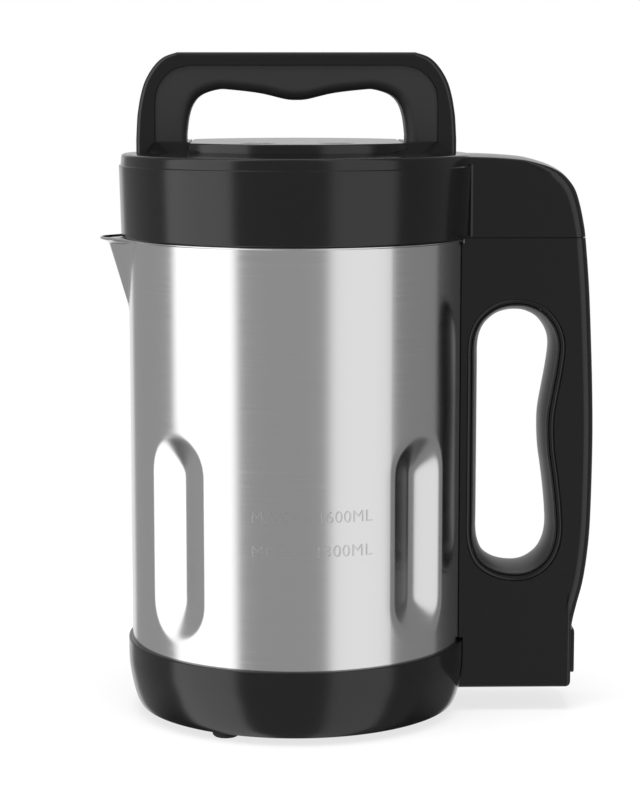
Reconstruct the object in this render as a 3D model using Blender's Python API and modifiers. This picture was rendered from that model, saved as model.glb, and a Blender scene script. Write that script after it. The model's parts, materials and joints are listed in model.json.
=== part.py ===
"""Jug soup maker: a heated steel jug with a side handle and a lift-off motor head.

Metres, +Z up. The jug's axis is the axis of every turned piece. The object stands on
z = 0, and its root is shifted along X so that the origin is under the middle of it.
"""

import math

import bmesh
import bpy
from mathutils import Matrix, Vector

# General sizes
CLEARANCE = 0.0003
OVERRUN = 0.002
PLASTIC_WALL = 0.0025
STEEL_WALL = 0.0008
WELD_DISTANCE = 0.00001
LARGE_STEPS = 40
MOTOR_STEPS = 30
MEDIUM_STEPS = 20
SMALL_STEPS = 10
GROOVE_STEPS = 16
SPAN_STEPS = 2
ROUNDING_STEPS = 3

# Jug
JUG_RADIUS = 0.079
JUG_FLOOR_Z = 0.023
JUG_RIM_Z = 0.2265
JUG_CORNER_RADIUS = 0.006
SEAM_LIFT = 0.0003
SEAM_GAP = 0.0004
SEAM_Z = JUG_RIM_Z + SEAM_LIFT
RIM_BEAD_WIDTH = 0.0012
RIM_BEAD_HEIGHT = 0.002
GROOVE_ANGLES = (45, 135, 225, 315)
GROOVE_HALF_WIDTH = 0.0168
GROOVE_LOW_Z = 0.0452
GROOVE_HIGH_Z = 0.139
GROOVE_DEPTH = 0.0066
SPOUT_LENGTH = 0.0133
SPOUT_REACH = JUG_RADIUS + SPOUT_LENGTH
SPOUT_HEIGHT = 0.033
SPOUT_FOOT_Z = JUG_RIM_Z - SPOUT_HEIGHT
SPOUT_HALF_WIDTH = 0.025
SPOUT_TIP_RADIUS = 0.006
SPOUT_WALL_SHARE = 1.25

# Base
FOOT_HEIGHT = 0.0027
FOOT_RADIUS = 0.0062
FOOT_INSET = 0.0086
FOOT_STEM_RADIUS = 0.003
BASE_RING_TOP_Z = 0.036
BASE_RING_LIP = 0.0019
BASE_RING_RADIUS = JUG_RADIUS + BASE_RING_LIP
BASE_TAPER = 0.0053
BASE_FOOT_RADIUS = BASE_RING_RADIUS - BASE_TAPER
FOOT_CIRCLE = BASE_FOOT_RADIUS - FOOT_INSET
BASE_WALL = 0.0024
BASE_OUTLINE_SHARES = ((0.0, 0.0), (0.0, 0.3), (0.09, 0.48), (0.36, 0.72), (0.68, 0.9), (1.0, 1.0))
SHELF_WIDTH = 0.019
SHELF_INNER_RADIUS = JUG_RADIUS - SHELF_WIDTH
SHELF_THICKNESS = 0.002
PLATE_INSET = 0.0056
PLATE_RADIUS = BASE_FOOT_RADIUS - PLATE_INSET
PLATE_LIP = 0.0035
PLATE_LIP_THICKNESS = 0.0015
BASE_SCREW_INSET = 0.0055
BASE_SCREW_CIRCLE = PLATE_RADIUS - BASE_SCREW_INSET
BASE_SCREW_DEPTH = 0.0125

# Screws
SCREW_RADIUS = 0.0015
SCREW_HEAD_RADIUS = 0.0029
SCREW_HEAD_HEIGHT = 0.0019
SCREW_BOSS_RADIUS = 0.0042

# Heater
HEATER_MARGIN = 0.008
HEATER_RADIUS = SHELF_INNER_RADIUS - HEATER_MARGIN
HEATER_THICKNESS = 0.003
ELEMENT_DIAMETER = 0.0064
ELEMENT_INSET = 0.014
ELEMENT_CIRCLE = HEATER_RADIUS - ELEMENT_INSET
ELEMENT_GAP_ANGLE = 50
ELEMENT_PIN_LENGTH = 0.005
THERMOSTAT_RADIUS = 0.009
THERMOSTAT_HEIGHT = 0.006

# Side handle and the part of the head over it
HANDLE_DEPTH = 0.061
HANDLE_REACH = JUG_RADIUS + HANDLE_DEPTH
HANDLE_HALF_WIDTH = 0.0195
HANDLE_EDGE_RADIUS = 0.005
HEEL_EDGE_RADIUS = 0.0018
HEEL_BLEND_HEIGHT = 0.020
HANDLE_BOTTOM_Z = 0.0114
HANDLE_TOP_RISE = 0.0384
HANDLE_TOP_Z = SEAM_Z + HANDLE_TOP_RISE
HANDLE_CORNER_RADIUS = 0.0025
HANDLE_ROOT_DEPTH = 0.009
HANDLE_BACK_SHARES = (
    (0.334, 1.0), (0.50, 0.992), (0.615, 0.982), (0.73, 0.962), (0.816, 0.939), (0.872, 0.910),
    (0.908, 0.871), (0.921, 0.849), (0.944, 0.790), (0.961, 0.733), (0.980, 0.640), (0.993, 0.560),
    (1.0, 0.480), (0.998, 0.390), (0.989, 0.305), (0.969, 0.248), (0.940, 0.200), (0.896, 0.158),
    (0.868, 0.130),
)
HANDLE_FOOT_SETBACK = 0.0091
HANDLE_FOOT_REACH = HANDLE_REACH - HANDLE_FOOT_SETBACK

# Finger hole
HOLE_SETBACK = 0.0054
HOLE_LEFT_X = JUG_RADIUS + HOLE_SETBACK
HOLE_BACK_DEPTH = 0.0179
HOLE_WIDTH = HANDLE_REACH - HOLE_BACK_DEPTH - HOLE_LEFT_X
HOLE_LOW_Z = 0.0677
HOLE_TOP_DROP = 0.0332
HOLE_HEIGHT = SEAM_Z - HOLE_TOP_DROP - HOLE_LOW_Z
HOLE_SHARES = (
    (0.0, 0.17), (0.0, 0.50), (0.0, 0.83), (0.10, 0.935), (0.42, 1.0), (0.78, 0.965), (0.975, 0.865),
    (0.935, 0.72), (0.875, 0.56), (0.905, 0.42), (0.975, 0.28), (1.0, 0.165), (0.90, 0.06),
    (0.52, 0.0), (0.15, 0.05),
)
LINER_WALL = 0.0018
LIP_WIDTH = 0.0025
LIP_DEPTH = 0.0025

# Handle fittings
BRACKET_THICKNESS = 0.002
BRACKET_HALF_WIDTH = 0.009
BRACKET_HALF_HEIGHT = 0.010
BRACKET_LENGTH = 0.016
BRACKET_WEB_REACH = JUG_RADIUS + BRACKET_LENGTH
BRACKET_WEB_THICKNESS = 0.003
BRACKET_WEB_HALF_HEIGHT = 0.0045
HANDLE_SCREW_SETBACK = 0.011
HANDLE_SCREW_X = JUG_RADIUS + HANDLE_SCREW_SETBACK
HANDLE_SCREW_LOW_Z = 0.050
HANDLE_SCREW_DROP = 0.0228
HANDLE_SCREW_HIGH_Z = SEAM_Z - HANDLE_SCREW_DROP
HANDLE_SCREW_BACK_DEPTH = 0.0118
HANDLE_SCREW_BACK_X = HANDLE_REACH - HANDLE_SCREW_BACK_DEPTH
HANDLE_SCREW_BACK_DROP = 0.0108
HANDLE_SCREW_BACK_Z = SEAM_Z - HANDLE_SCREW_BACK_DROP
HANDLE_BOSS_RADIUS = 0.005
HANDLE_SCREW_SINK = 0.0055
HANDLE_SCREW_TIP_Y = 0.012

# Plug and socket between the head and the jug
CONNECTOR_SETBACK = 0.009
CONNECTOR_LENGTH = 0.032
CONNECTOR_LOW_X = JUG_RADIUS + CONNECTOR_SETBACK
CONNECTOR_HIGH_X = CONNECTOR_LOW_X + CONNECTOR_LENGTH
CONNECTOR_HALF_WIDTH = 0.010
CONNECTOR_FLANGE = 0.002
CONNECTOR_HEIGHT = 0.0148
CONNECTOR_PIN_PITCH = 0.010
CONNECTOR_MIDDLE_X = CONNECTOR_LOW_X + CONNECTOR_LENGTH / 2
CONNECTOR_PIN_XS = (
    CONNECTOR_MIDDLE_X - CONNECTOR_PIN_PITCH,
    CONNECTOR_MIDDLE_X,
    CONNECTOR_MIDDLE_X + CONNECTOR_PIN_PITCH,
)
CONNECTOR_PIN_RADIUS = 0.0022
CONNECTOR_SOCKET_RADIUS = 0.0027
CONNECTOR_SOCKET_DEPTH = 0.011
CONNECTOR_PIN_REACH = 0.0095
HEAD_CONNECTOR_HEIGHT = 0.011

# Power inlet
INLET_Z = 0.0278
INLET_HALF_WIDTH = 0.0130
INLET_HALF_HEIGHT = 0.0090
INLET_DEPTH = 0.0190
INLET_WALL = 0.0018
INLET_BACK_WALL = 0.003
INLET_BEZEL_HALF_WIDTH = 0.0143
INLET_BEZEL_HALF_HEIGHT = 0.0106
INLET_BEZEL_DEPTH = 0.0017
INLET_PIN_HALF_THICKNESS = 0.001
INLET_PIN_HALF_HEIGHT = 0.002
INLET_PIN_LENGTH = 0.016
INLET_PIN_TAIL = 0.003
INLET_PIN_PITCH = 0.007
INLET_EARTH_RISE = 0.003

# Leads inside the handle
LEAD_DIAMETER = 0.0034
LEAD_Y = 0.003
LEAD_HOLE_RADIUS = 0.0026
LEAD_HOLE_Z = 0.0168
LEAD_START_Z = 0.0125
LEAD_HEATER_GAP = 0.006
LEAD_RUN = 0.007
LEAD_CHANNEL = ((0.049, 0.0586), (0.0528, 0.0786), (0.0522, 0.1036), (0.0518, 0.1286), (0.0526, 0.1536))
LEAD_TOP = ((0.0522, 0.0428), (0.045, 0.0278), (0.033, 0.0248), (0.0262, 0.0208))
INLET_LEAD_START = ((0.0245, 0.0246), (0.029, 0.0346), (0.040, 0.0446))
HEATER_LEAD_START = ((0.017, 0.0076), (0.0195, 0.0226), (0.025, 0.0366), (0.036, 0.0466))

# Head
HEAD_LAP = 0.0035
HEAD_FLARE = 0.0009
HEAD_LOW_RADIUS = JUG_RADIUS + HEAD_LAP
HEAD_RADIUS = HEAD_LOW_RADIUS + HEAD_FLARE
HEAD_WIDEST_RISE = 0.0232
HEAD_WIDEST_Z = SEAM_Z + HEAD_WIDEST_RISE
HEAD_SIDE_HEIGHT = 0.0332
HEAD_CHAMFER_HEIGHT = 0.0046
HEAD_CHAMFER_LOW_Z = SEAM_Z + HEAD_SIDE_HEIGHT
HEAD_CHAMFER_HIGH_Z = HEAD_CHAMFER_LOW_Z + HEAD_CHAMFER_HEIGHT
HEAD_CHAMFER_WIDTH = 0.0028
HEAD_SHOULDER_WIDTH = 0.0114
HEAD_CROWN_RADIUS = HEAD_RADIUS - HEAD_SHOULDER_WIDTH
HEAD_SHOULDER_HEIGHT = 0.0014
HEAD_CROWN_Z = HEAD_CHAMFER_HIGH_Z + HEAD_SHOULDER_HEIGHT
HEAD_SLOPE_WIDTH = 0.008
HEAD_TOP_RADIUS = HEAD_CROWN_RADIUS - HEAD_SLOPE_WIDTH
HEAD_SLOPE_HEIGHT = 0.0008
HEAD_TOP_Z = HEAD_CROWN_Z + HEAD_SLOPE_HEIGHT
HEAD_SCREW_INSET = 0.010
HEAD_SCREW_CIRCLE = JUG_RADIUS - HEAD_SCREW_INSET
HEAD_SCREW_ANGLES = (60, 180, 300)
HEAD_SCREW_DEPTH = 0.013

# Head base, seal and probes
DECK_THICKNESS = 0.0022
BASE_RIM_HEIGHT = 0.0052
BASE_RIM_WALL = 0.0026
SKIRT_DEPTH = 0.0138
SKIRT_WALL = 0.0045
SEAL_HEIGHT = 0.004
SEAL_WIDTH = 0.0024
SEAL_DROP = 0.0068
PROBE_INSET = 0.023
PROBE_CIRCLE = JUG_RADIUS - PROBE_INSET
OVERFLOW_PROBE_RADIUS = 0.0025
OVERFLOW_PROBE_LENGTH = 0.0768
OVERFLOW_PROBE_LOW_Z = SEAM_Z - OVERFLOW_PROBE_LENGTH
TEMPERATURE_PROBE_RADIUS = 0.0032
TEMPERATURE_PROBE_HEIGHT = 0.047
TEMPERATURE_PROBE_LOW_Z = JUG_FLOOR_Z + TEMPERATURE_PROBE_HEIGHT
PROBE_FLANGE_RADIUS = 0.0055
PROBE_FLANGE_HEIGHT = 0.0015
PROBE_TAIL = 0.006

# Top panel, buttons and control board
PANEL_MARGIN = 0.002
PANEL_SIDE_CUT = 0.0126
PANEL_RADIUS = HEAD_TOP_RADIUS - PANEL_MARGIN
PANEL_HALF_WIDTH = PANEL_RADIUS - PANEL_SIDE_CUT
PANEL_RISE = 0.0042
PANEL_TOP_Z = HEAD_TOP_Z + PANEL_RISE
PANEL_EDGE_RADIUS = 0.0008
PANEL_FLANGE = 0.0015
PANEL_FLANGE_THICKNESS = 0.0014
PANEL_WALL = 0.002
BUTTON_RADIUS = 0.008
BUTTON_X = 0.018
BUTTON_RISE = 0.0006
BUTTON_TRAVEL = 0.001
BUTTON_FLANGE = 0.0015
BUTTON_FLANGE_THICKNESS = 0.0015
BOARD_SIDE_MARGIN = 0.0134
BOARD_EDGE_MARGIN = 0.016
BOARD_DROP = 0.0082
BOARD_HALF_LENGTH = PANEL_HALF_WIDTH - BOARD_SIDE_MARGIN
BOARD_NEAR_Y = -0.012
BOARD_FAR_Y = BOARD_EDGE_MARGIN - PANEL_RADIUS
BUTTON_INSET = 0.010
BUTTON_Y = BOARD_FAR_Y + BUTTON_INSET
BOARD_TOP_Z = PANEL_TOP_Z - BOARD_DROP
BOARD_THICKNESS = 0.0016
BOARD_POST_X = 0.031
BOARD_POST_Y = -0.020
BOARD_POST_RADIUS = 0.003
SWITCH_HALF_SIZE = 0.003
SWITCH_HEIGHT = 0.0024
TRANSFORMER_HALF_LENGTH = 0.010
TRANSFORMER_HALF_WIDTH = 0.0055
TRANSFORMER_HEIGHT = 0.008
TRANSFORMER_INSET = 0.0065
TRANSFORMER_Y = BOARD_FAR_Y + TRANSFORMER_INSET

# Carrying handle
CARRY_INSET = 0.0089
CARRY_HALF_SPAN = HEAD_RADIUS - CARRY_INSET
CARRY_HEIGHT = 0.0412
CARRY_SINK = 0.009
CARRY_TOP_Z = PANEL_TOP_Z + CARRY_HEIGHT
CARRY_FOOT_Z = PANEL_TOP_Z - CARRY_SINK
CARRY_OUTER_SHARES = (
    (1.0, 0.195), (0.993, 0.38), (0.986, 0.47), (0.970, 0.60), (0.942, 0.735), (0.890, 0.865),
    (0.825, 0.955), (0.740, 1.0),
)
CARRY_BAND_WIDTH = 0.0087
CARRY_BAND_HALF_SPAN = CARRY_HALF_SPAN - CARRY_BAND_WIDTH
CARRY_BAND_THICKNESS = 0.0059
CARRY_BAND_TOP_Z = CARRY_TOP_Z - CARRY_BAND_THICKNESS
CARRY_BAND_SHARES = ((1.0, 0.60), (0.985, 0.75), (0.93, 0.88), (0.85, 0.965), (0.745, 1.0))
CARRY_GRIP_WIDTH = 0.0143
CARRY_GAP_HALF_SPAN = CARRY_BAND_HALF_SPAN - CARRY_GRIP_WIDTH
CARRY_GRIP_THICKNESS = 0.0112
CARRY_GAP_PEAK_Z = CARRY_BAND_TOP_Z - CARRY_GRIP_THICKNESS
CARRY_GAP_SHARES = (
    (1.0, 0.28), (0.975, 0.60), (0.93, 0.80), (0.85, 0.925), (0.71, 0.995), (0.60, 0.995),
    (0.33, 0.945), (0.10, 0.862), (0.0, 0.850),
)
CARRY_FRAME_HALF_WIDTH = 0.0142
CARRY_FRAME_EDGE_RADIUS = 0.0025
CARRY_GRIP_HALF_WIDTH = 0.0134
CARRY_GRIP_EDGE_RADIUS = 0.0030
CARRY_GRIP_LIFT = 0.001
CARRY_GRIP_FOOT_Z = PANEL_TOP_Z + CARRY_GRIP_LIFT
PAD_TOP_Z = PANEL_TOP_Z
PAD_TOP_HALF_LENGTH = 0.034
PAD_FOOT_HALF_LENGTH = 0.054
PAD_UNDERLAP = 0.0134
PAD_FOOT_NEAR_X = PANEL_HALF_WIDTH - PAD_UNDERLAP
PAD_TOP_INSET = 0.001
PAD_TOP_FAR_X = CARRY_HALF_SPAN - PAD_TOP_INSET
PAD_FOOT_INSET = 0.0049
PAD_FOOT_RADIUS = HEAD_RADIUS - PAD_FOOT_INSET

# Motor
CUP_PROBE_GAP = 0.010
CUP_FLANGE_WIDTH = 0.0035
CUP_DEPTH = 0.0298
CUP_STEP_WIDTH = 0.012
CUP_CONE_WIDTH = 0.004
CUP_CONE_HEIGHT = 0.007
CUP_RADIUS = PROBE_CIRCLE - CUP_PROBE_GAP
CUP_FLANGE_RADIUS = CUP_RADIUS + CUP_FLANGE_WIDTH
CUP_STEP_Z = SEAM_Z - CUP_DEPTH
CUP_STEP_RADIUS = CUP_RADIUS - CUP_STEP_WIDTH
CUP_CONE_RADIUS = CUP_STEP_RADIUS - CUP_CONE_WIDTH
CUP_CONE_Z = CUP_STEP_Z - CUP_CONE_HEIGHT
MAST_RADIUS = 0.013
MAST_SHOULDER = 0.009
MAST_FLOOR_GAP = 0.043
MAST_TOP_Z = CUP_CONE_Z - MAST_SHOULDER
MAST_LOW_Z = JUG_FLOOR_Z + MAST_FLOOR_GAP
STATOR_HEIGHT = 0.030
STATOR_BORE = 0.0193
SHAFT_RADIUS = 0.004
SHAFT_RISE = 0.0322
SHAFT_TOP_Z = SEAM_Z + SHAFT_RISE
SHAFT_BORE_GAP = 0.0003
ARMATURE_RADIUS = 0.0185
ARMATURE_HEIGHT = 0.028
COMMUTATOR_RADIUS = 0.009
COMMUTATOR_HEIGHT = 0.011
FRAME_FLANGE_THICKNESS = 0.003
FRAME_OPENING_MARGIN = 0.016
FRAME_OPENING_RADIUS = CUP_RADIUS - FRAME_OPENING_MARGIN
FRAME_HUB_RADIUS = 0.0115
FRAME_HUB_HEIGHT = 0.0205
FRAME_WALL = 0.0025
BEARING_RADIUS = 0.008
BEARING_HEIGHT = 0.005
BRUSH_HALF_THICKNESS = 0.0025
BRUSH_HALF_HEIGHT = 0.003
BRUSH_LENGTH = (FRAME_OPENING_RADIUS - COMMUTATOR_RADIUS) * 2 / 3
BUSH_HEIGHT = 0.016
SEAL_RING_HEIGHT = 0.0072
FAN_MARGIN = 0.018
FAN_RADIUS = CUP_RADIUS - FAN_MARGIN
FAN_HUB_RADIUS = 0.0075
FAN_DISC_THICKNESS = 0.0014
FAN_HEIGHT = 0.007
FAN_BLADES = 9
FAN_BLADE_THICKNESS = 0.0014
LOWER_BEARING_HEIGHT = 0.007

# Blade
BLADE_FLOOR_GAP = 0.0325
BLADE_Z = JUG_FLOOR_Z + BLADE_FLOOR_GAP
BLADE_REACH = 0.028
BLADE_FLAT_REACH = 0.013
BLADE_WIDTH = 0.011
BLADE_THICKNESS = 0.0018
BLADE_RISE = 0.009
BLADE_DROP = 0.007
BLADE_HUB_RADIUS = 0.0085
BLADE_NUT_RADIUS = 0.0065
BLADE_NUT_HEIGHT = 0.0075
BLADE_NUT_SIDES = 6
SHAFT_COLLAR_RADIUS = 0.006
SHAFT_COLLAR_HEIGHT = 0.005

# Heights that follow from the sizes above
BASE_LOW_Z = FOOT_HEIGHT + CLEARANCE
POT_UNDERSIDE_Z = JUG_FLOOR_Z - STEEL_WALL
JUG_BORE = JUG_RADIUS - STEEL_WALL
LIP_TOP_Z = BASE_LOW_Z + BASE_WALL
PLATE_TOP_Z = LIP_TOP_Z + CLEARANCE + PLATE_LIP_THICKNESS
SHELF_TOP_Z = POT_UNDERSIDE_Z - CLEARANCE
HEATER_LOW_Z = SHELF_TOP_Z - HEATER_THICKNESS
ELEMENT_Z = HEATER_LOW_Z - CLEARANCE - ELEMENT_DIAMETER / 2
HANDLE_JOIN_Z = SEAM_Z - SEAM_GAP
DECK_LOW_Z = SEAM_Z
DECK_TOP_Z = DECK_LOW_Z + DECK_THICKNESS
CUP_FLANGE_LOW_Z = DECK_TOP_Z + CLEARANCE
CUP_FLANGE_TOP_Z = CUP_FLANGE_LOW_Z + STEEL_WALL
CUP_BORE = CUP_RADIUS - STEEL_WALL
MAST_BORE = MAST_RADIUS - STEEL_WALL
STATOR_LOW_Z = CUP_STEP_Z + CLEARANCE
STATOR_TOP_Z = STATOR_LOW_Z + STATOR_HEIGHT
FRAME_LOW_Z = STATOR_TOP_Z + CLEARANCE
FRAME_TOP_Z = FRAME_LOW_Z + FRAME_HUB_HEIGHT
BEARING_LOW_Z = FRAME_TOP_Z - BEARING_HEIGHT
COMMUTATOR_LOW_Z = FRAME_LOW_Z + CLEARANCE
BRUSH_Z = COMMUTATOR_LOW_Z + COMMUTATOR_HEIGHT / 2
FAN_LOW_Z = FRAME_TOP_Z + OVERRUN / 2
BOARD_LOW_Z = BOARD_TOP_Z - BOARD_THICKNESS
PANEL_UNDERSIDE_Z = PANEL_TOP_Z - PANEL_WALL
HEAD_INSIDE_TOP_Z = HEAD_TOP_Z - PLASTIC_WALL
PANEL_FLANGE_TOP_Z = HEAD_INSIDE_TOP_Z - CLEARANCE
BLADE_TOP_Z = BLADE_Z + BLADE_THICKNESS
BLADE_NUT_TOP_Z = BLADE_Z - CLEARANCE
ROOT_SHIFT = (SPOUT_REACH - HANDLE_REACH) / 2
INLET_FACE_X = HANDLE_FOOT_REACH + CLEARANCE
INLET_BACK_X = INLET_FACE_X - INLET_DEPTH


def make_collections():
    """Empty the scene and make one collection for the parts and one for the cutters."""
    for old in list(bpy.data.objects):
        bpy.data.objects.remove(old)
    made = []
    for name in ("soup_maker", "cutters"):
        collection = bpy.data.collections.new(name)
        bpy.context.scene.collection.children.link(collection)
        made.append(collection)
    return made


PARTS, CUTTERS = make_collections()


def add_object(name, data, collection=PARTS):
    """Link a new object that holds data to a collection."""
    piece = bpy.data.objects.new(name, data)
    collection.objects.link(piece)
    return piece


def add_mesh(name, bm, collection=PARTS, smooth_angle=None):
    """Turn a bmesh into a mesh object with its faces pointing out."""
    bmesh.ops.recalc_face_normals(bm, faces=bm.faces)
    mesh = bpy.data.meshes.new(name)
    bm.to_mesh(mesh)
    bm.free()
    if smooth_angle is not None:
        mesh.shade_smooth()
        mesh.set_sharp_from_angle(angle=smooth_angle)
    return add_object(name, mesh, collection)


SMOOTH_ANGLE = math.radians(30)
FLAT_ANGLE = math.radians(0.1)


def box(name, low, high, collection=PARTS):
    """A box between two corners, with its origin in its middle."""
    low, high = Vector(low), Vector(high)
    size = high - low
    bm = bmesh.new()
    bmesh.ops.create_cube(bm, size=1.0, matrix=Matrix.Diagonal((size.x, size.y, size.z, 1.0)))
    piece = add_mesh(name, bm, collection)
    piece.location = (low + high) / 2
    return piece


def rod(name, radius, start, end, steps=MEDIUM_STEPS, collection=PARTS):
    """A cylinder between two points."""
    start, end = Vector(start), Vector(end)
    run = end - start
    bm = bmesh.new()
    bmesh.ops.create_cone(
        bm, cap_ends=True, segments=steps, radius1=radius, radius2=radius, depth=run.length
    )
    piece = add_mesh(name, bm, collection, SMOOTH_ANGLE)
    piece.location = (start + end) / 2
    piece.rotation_mode = "QUATERNION"
    piece.rotation_quaternion = run.to_track_quat("Z", "Y")
    return piece


def turned(name, profile, steps=LARGE_STEPS, closed=True, collection=PARTS):
    """Turn a profile of (radius, height) points, top to bottom on its outer side, about Z."""
    bm = bmesh.new()
    verts = [bm.verts.new((radius, 0, height)) for radius, height in profile]
    for first, second in zip(verts, verts[1:]):
        bm.edges.new((first, second))
    if closed:
        bm.edges.new((verts[-1], verts[0]))
    mesh = bpy.data.meshes.new(name)
    bm.to_mesh(mesh)
    bm.free()
    piece = add_object(name, mesh, collection)
    screw = piece.modifiers.new("turn", "SCREW")
    screw.steps = steps
    screw.render_steps = steps
    screw.use_merge_vertices = True
    screw.merge_threshold = WELD_DISTANCE
    screw.use_smooth_shade = True
    return piece


def solid_profile(profile, low_z, high_z):
    """Close a turned outline on the axis, so that it makes a full solid."""
    return [(0, high_z)] + list(profile) + [(0, low_z)]


def arc(centre, radius, start, end, steps):
    """Points of an arc, from one angle in degrees to another."""
    points = []
    for step in range(steps + 1):
        angle = math.radians(start + (end - start) * step / steps)
        points.append((centre[0] + radius * math.cos(angle), centre[1] + radius * math.sin(angle)))
    return points


def smooth_line(points, closed=False):
    """Pass a smooth line through the points, with SPAN_STEPS steps from one to the next."""
    count = len(points)
    spans = count if closed else count - 1
    line = []
    for index in range(spans):
        near = [index - 1, index, index + 1, index + 2]
        if closed:
            near = [place % count for place in near]
        else:
            near = [min(max(place, 0), count - 1) for place in near]
        p0, p1, p2, p3 = (Vector(points[place]) for place in near)
        for step in range(SPAN_STEPS):
            t = step / SPAN_STEPS
            bend = p1 * 2 + (p2 - p0) * t + (p0 * 2 - p1 * 5 + p2 * 4 - p3) * t * t
            bend = bend + (p1 * 3 - p0 - p2 * 3 + p3) * t * t * t
            line.append(tuple(bend / 2))
    if not closed:
        line.append(tuple(points[-1]))
    return line


def loop_normals(points):
    """For each point of a closed outline, the inward step that moves both its sides by one."""
    count = len(points)
    turn = sum(
        points[i][0] * points[(i + 1) % count][1] - points[(i + 1) % count][0] * points[i][1]
        for i in range(count)
    )
    side = -1 if turn > 0 else 1
    steps = []
    for i in range(count):
        before = Vector(points[i]) - Vector(points[i - 1])
        after = Vector(points[(i + 1) % count]) - Vector(points[i])
        normals = [Vector((edge.y, -edge.x)).normalized() * side for edge in (before, after)]
        middle = (normals[0] + normals[1]).normalized()
        steps.append(middle / middle.dot(normals[0]))
    return steps


def grow_outline(points, distance):
    """Move a closed outline outward by a distance, or inward where it is negative."""
    steps = loop_normals(points)
    grown = [Vector(point) - step * distance for point, step in zip(points, steps)]
    return [
        tuple(place)
        for i, place in enumerate(grown)
        if (place - grown[i - 1]).length > CLEARANCE / 10
    ]


def prism(name, outline, low, high, along="Y", edge=0.0, edge_steps=1, collection=PARTS):
    """Extrude a flat outline along Y or Z, with its edges rounded by the radius edge."""
    curve = bpy.data.curves.new(name, "CURVE")
    curve.dimensions = "2D"
    curve.fill_mode = "BOTH"
    curve.extrude = (high - low) / 2 - edge
    curve.bevel_depth = edge
    curve.bevel_resolution = edge_steps
    curve.offset = -edge
    spline = curve.splines.new("POLY")
    spline.points.add(len(outline) - 1)
    for point, (across, up) in zip(spline.points, outline):
        point.co = (across, up, 0, 1)
    spline.use_cyclic_u = True
    drawn = add_object(name + "_outline", curve, CUTTERS)
    if along == "Y":
        drawn.rotation_euler = (math.pi / 2, 0, 0)
        drawn.location = (0, (low + high) / 2, 0)
    else:
        drawn.location = (0, 0, (low + high) / 2)
    bpy.context.view_layer.update()
    graph = bpy.context.evaluated_depsgraph_get()
    mesh = bpy.data.meshes.new_from_object(drawn.evaluated_get(graph))
    place = drawn.matrix_world.copy()
    bpy.data.objects.remove(drawn)
    bm = bmesh.new()
    bm.from_mesh(mesh)
    bpy.data.meshes.remove(mesh)
    bmesh.ops.remove_doubles(bm, verts=bm.verts, dist=WELD_DISTANCE)
    bmesh.ops.dissolve_degenerate(bm, edges=bm.edges, dist=WELD_DISTANCE)
    bmesh.ops.dissolve_limit(bm, angle_limit=FLAT_ANGLE, verts=bm.verts, edges=bm.edges)
    piece = add_mesh(name, bm, collection, SMOOTH_ANGLE)
    piece.matrix_world = place
    return piece


def rounded_prism(name, outline, half_width, radii):
    """A loft along Y through an outline whose edge rounding changes from point to point."""
    inset = loop_normals(outline)
    bm = bmesh.new()
    rings = []
    for side in (-1, 1):
        turns = range(ROUNDING_STEPS, -1, -1) if side < 0 else range(ROUNDING_STEPS + 1)
        for step in turns:
            angle = math.radians(90 * step / ROUNDING_STEPS)
            ring = []
            for (across, up), radius, inward in zip(outline, radii, inset):
                depth = half_width - radius * (1 - math.sin(angle))
                shrink = radius * (1 - math.cos(angle))
                ring.append(
                    bm.verts.new((across + inward.x * shrink, side * depth, up + inward.y * shrink))
                )
            rings.append(ring)
    count = len(outline)
    for first, second in zip(rings, rings[1:]):
        for i in range(count):
            k = (i + 1) % count
            bm.faces.new((first[i], first[k], second[k], second[i]))
    bm.faces.new(rings[0])
    bm.faces.new(rings[-1])
    return add_mesh(name, bm, smooth_angle=SMOOTH_ANGLE)


def hull(name, points, collection=PARTS):
    """The convex solid round a set of points."""
    bm = bmesh.new()
    verts = [bm.verts.new(point) for point in points]
    result = bmesh.ops.convex_hull(bm, input=verts)
    loose = [item for item in result["geom_interior"] if isinstance(item, bmesh.types.BMVert)]
    bmesh.ops.delete(bm, geom=loose, context="VERTS")
    return add_mesh(name, bm, collection)


def tube(name, points, diameter, sides=2):
    """A round wire or tube along smooth points, with filled ends."""
    curve = bpy.data.curves.new(name, "CURVE")
    curve.dimensions = "3D"
    curve.bevel_depth = diameter / 2
    curve.bevel_resolution = sides
    curve.use_fill_caps = True
    spline = curve.splines.new("POLY")
    spline.points.add(len(points) - 1)
    for point, place in zip(spline.points, points):
        point.co = (*place, 1)
    return add_object(name, curve)


def as_cutter(piece):
    """Keep a solid out of the model: it only shapes other pieces."""
    for collection in list(piece.users_collection):
        collection.objects.unlink(piece)
    CUTTERS.objects.link(piece)
    piece.parent = ROOT
    piece.hide_render = True
    piece.display_type = "WIRE"
    return piece


def shape(piece, other, operation):
    """Add one Boolean step to a piece."""
    step = piece.modifiers.new(operation.lower() + "_" + other.name, "BOOLEAN")
    step.operation = operation
    step.object = as_cutter(other)
    step.solver = "EXACT"
    return piece


def cut(piece, *others):
    """Cut other solids out of a piece."""
    for other in others:
        shape(piece, other, "DIFFERENCE")
    return piece


def join(piece, *others):
    """Make other solids part of a piece."""
    for other in others:
        shape(piece, other, "UNION")
    return piece


def keep_inside(piece, *others):
    """Keep only what lies inside other solids."""
    for other in others:
        shape(piece, other, "INTERSECT")
    return piece


def on_circle(radius, angle, height=0):
    """A point on a circle round the jug's axis, at an angle in degrees."""
    turn = math.radians(angle)
    return Vector((radius * math.cos(turn), radius * math.sin(turn), height))


# Materials


def material(name, colour, roughness, metallic=0.0):
    """A Principled material."""
    made = bpy.data.materials.new(name)
    made.use_nodes = True
    shader = made.node_tree.nodes["Principled BSDF"]
    shader.inputs["Base Color"].default_value = (*colour, 1.0)
    shader.inputs["Roughness"].default_value = roughness
    shader.inputs["Metallic"].default_value = metallic
    made.diffuse_color = (*colour, 1.0)
    return made


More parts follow.
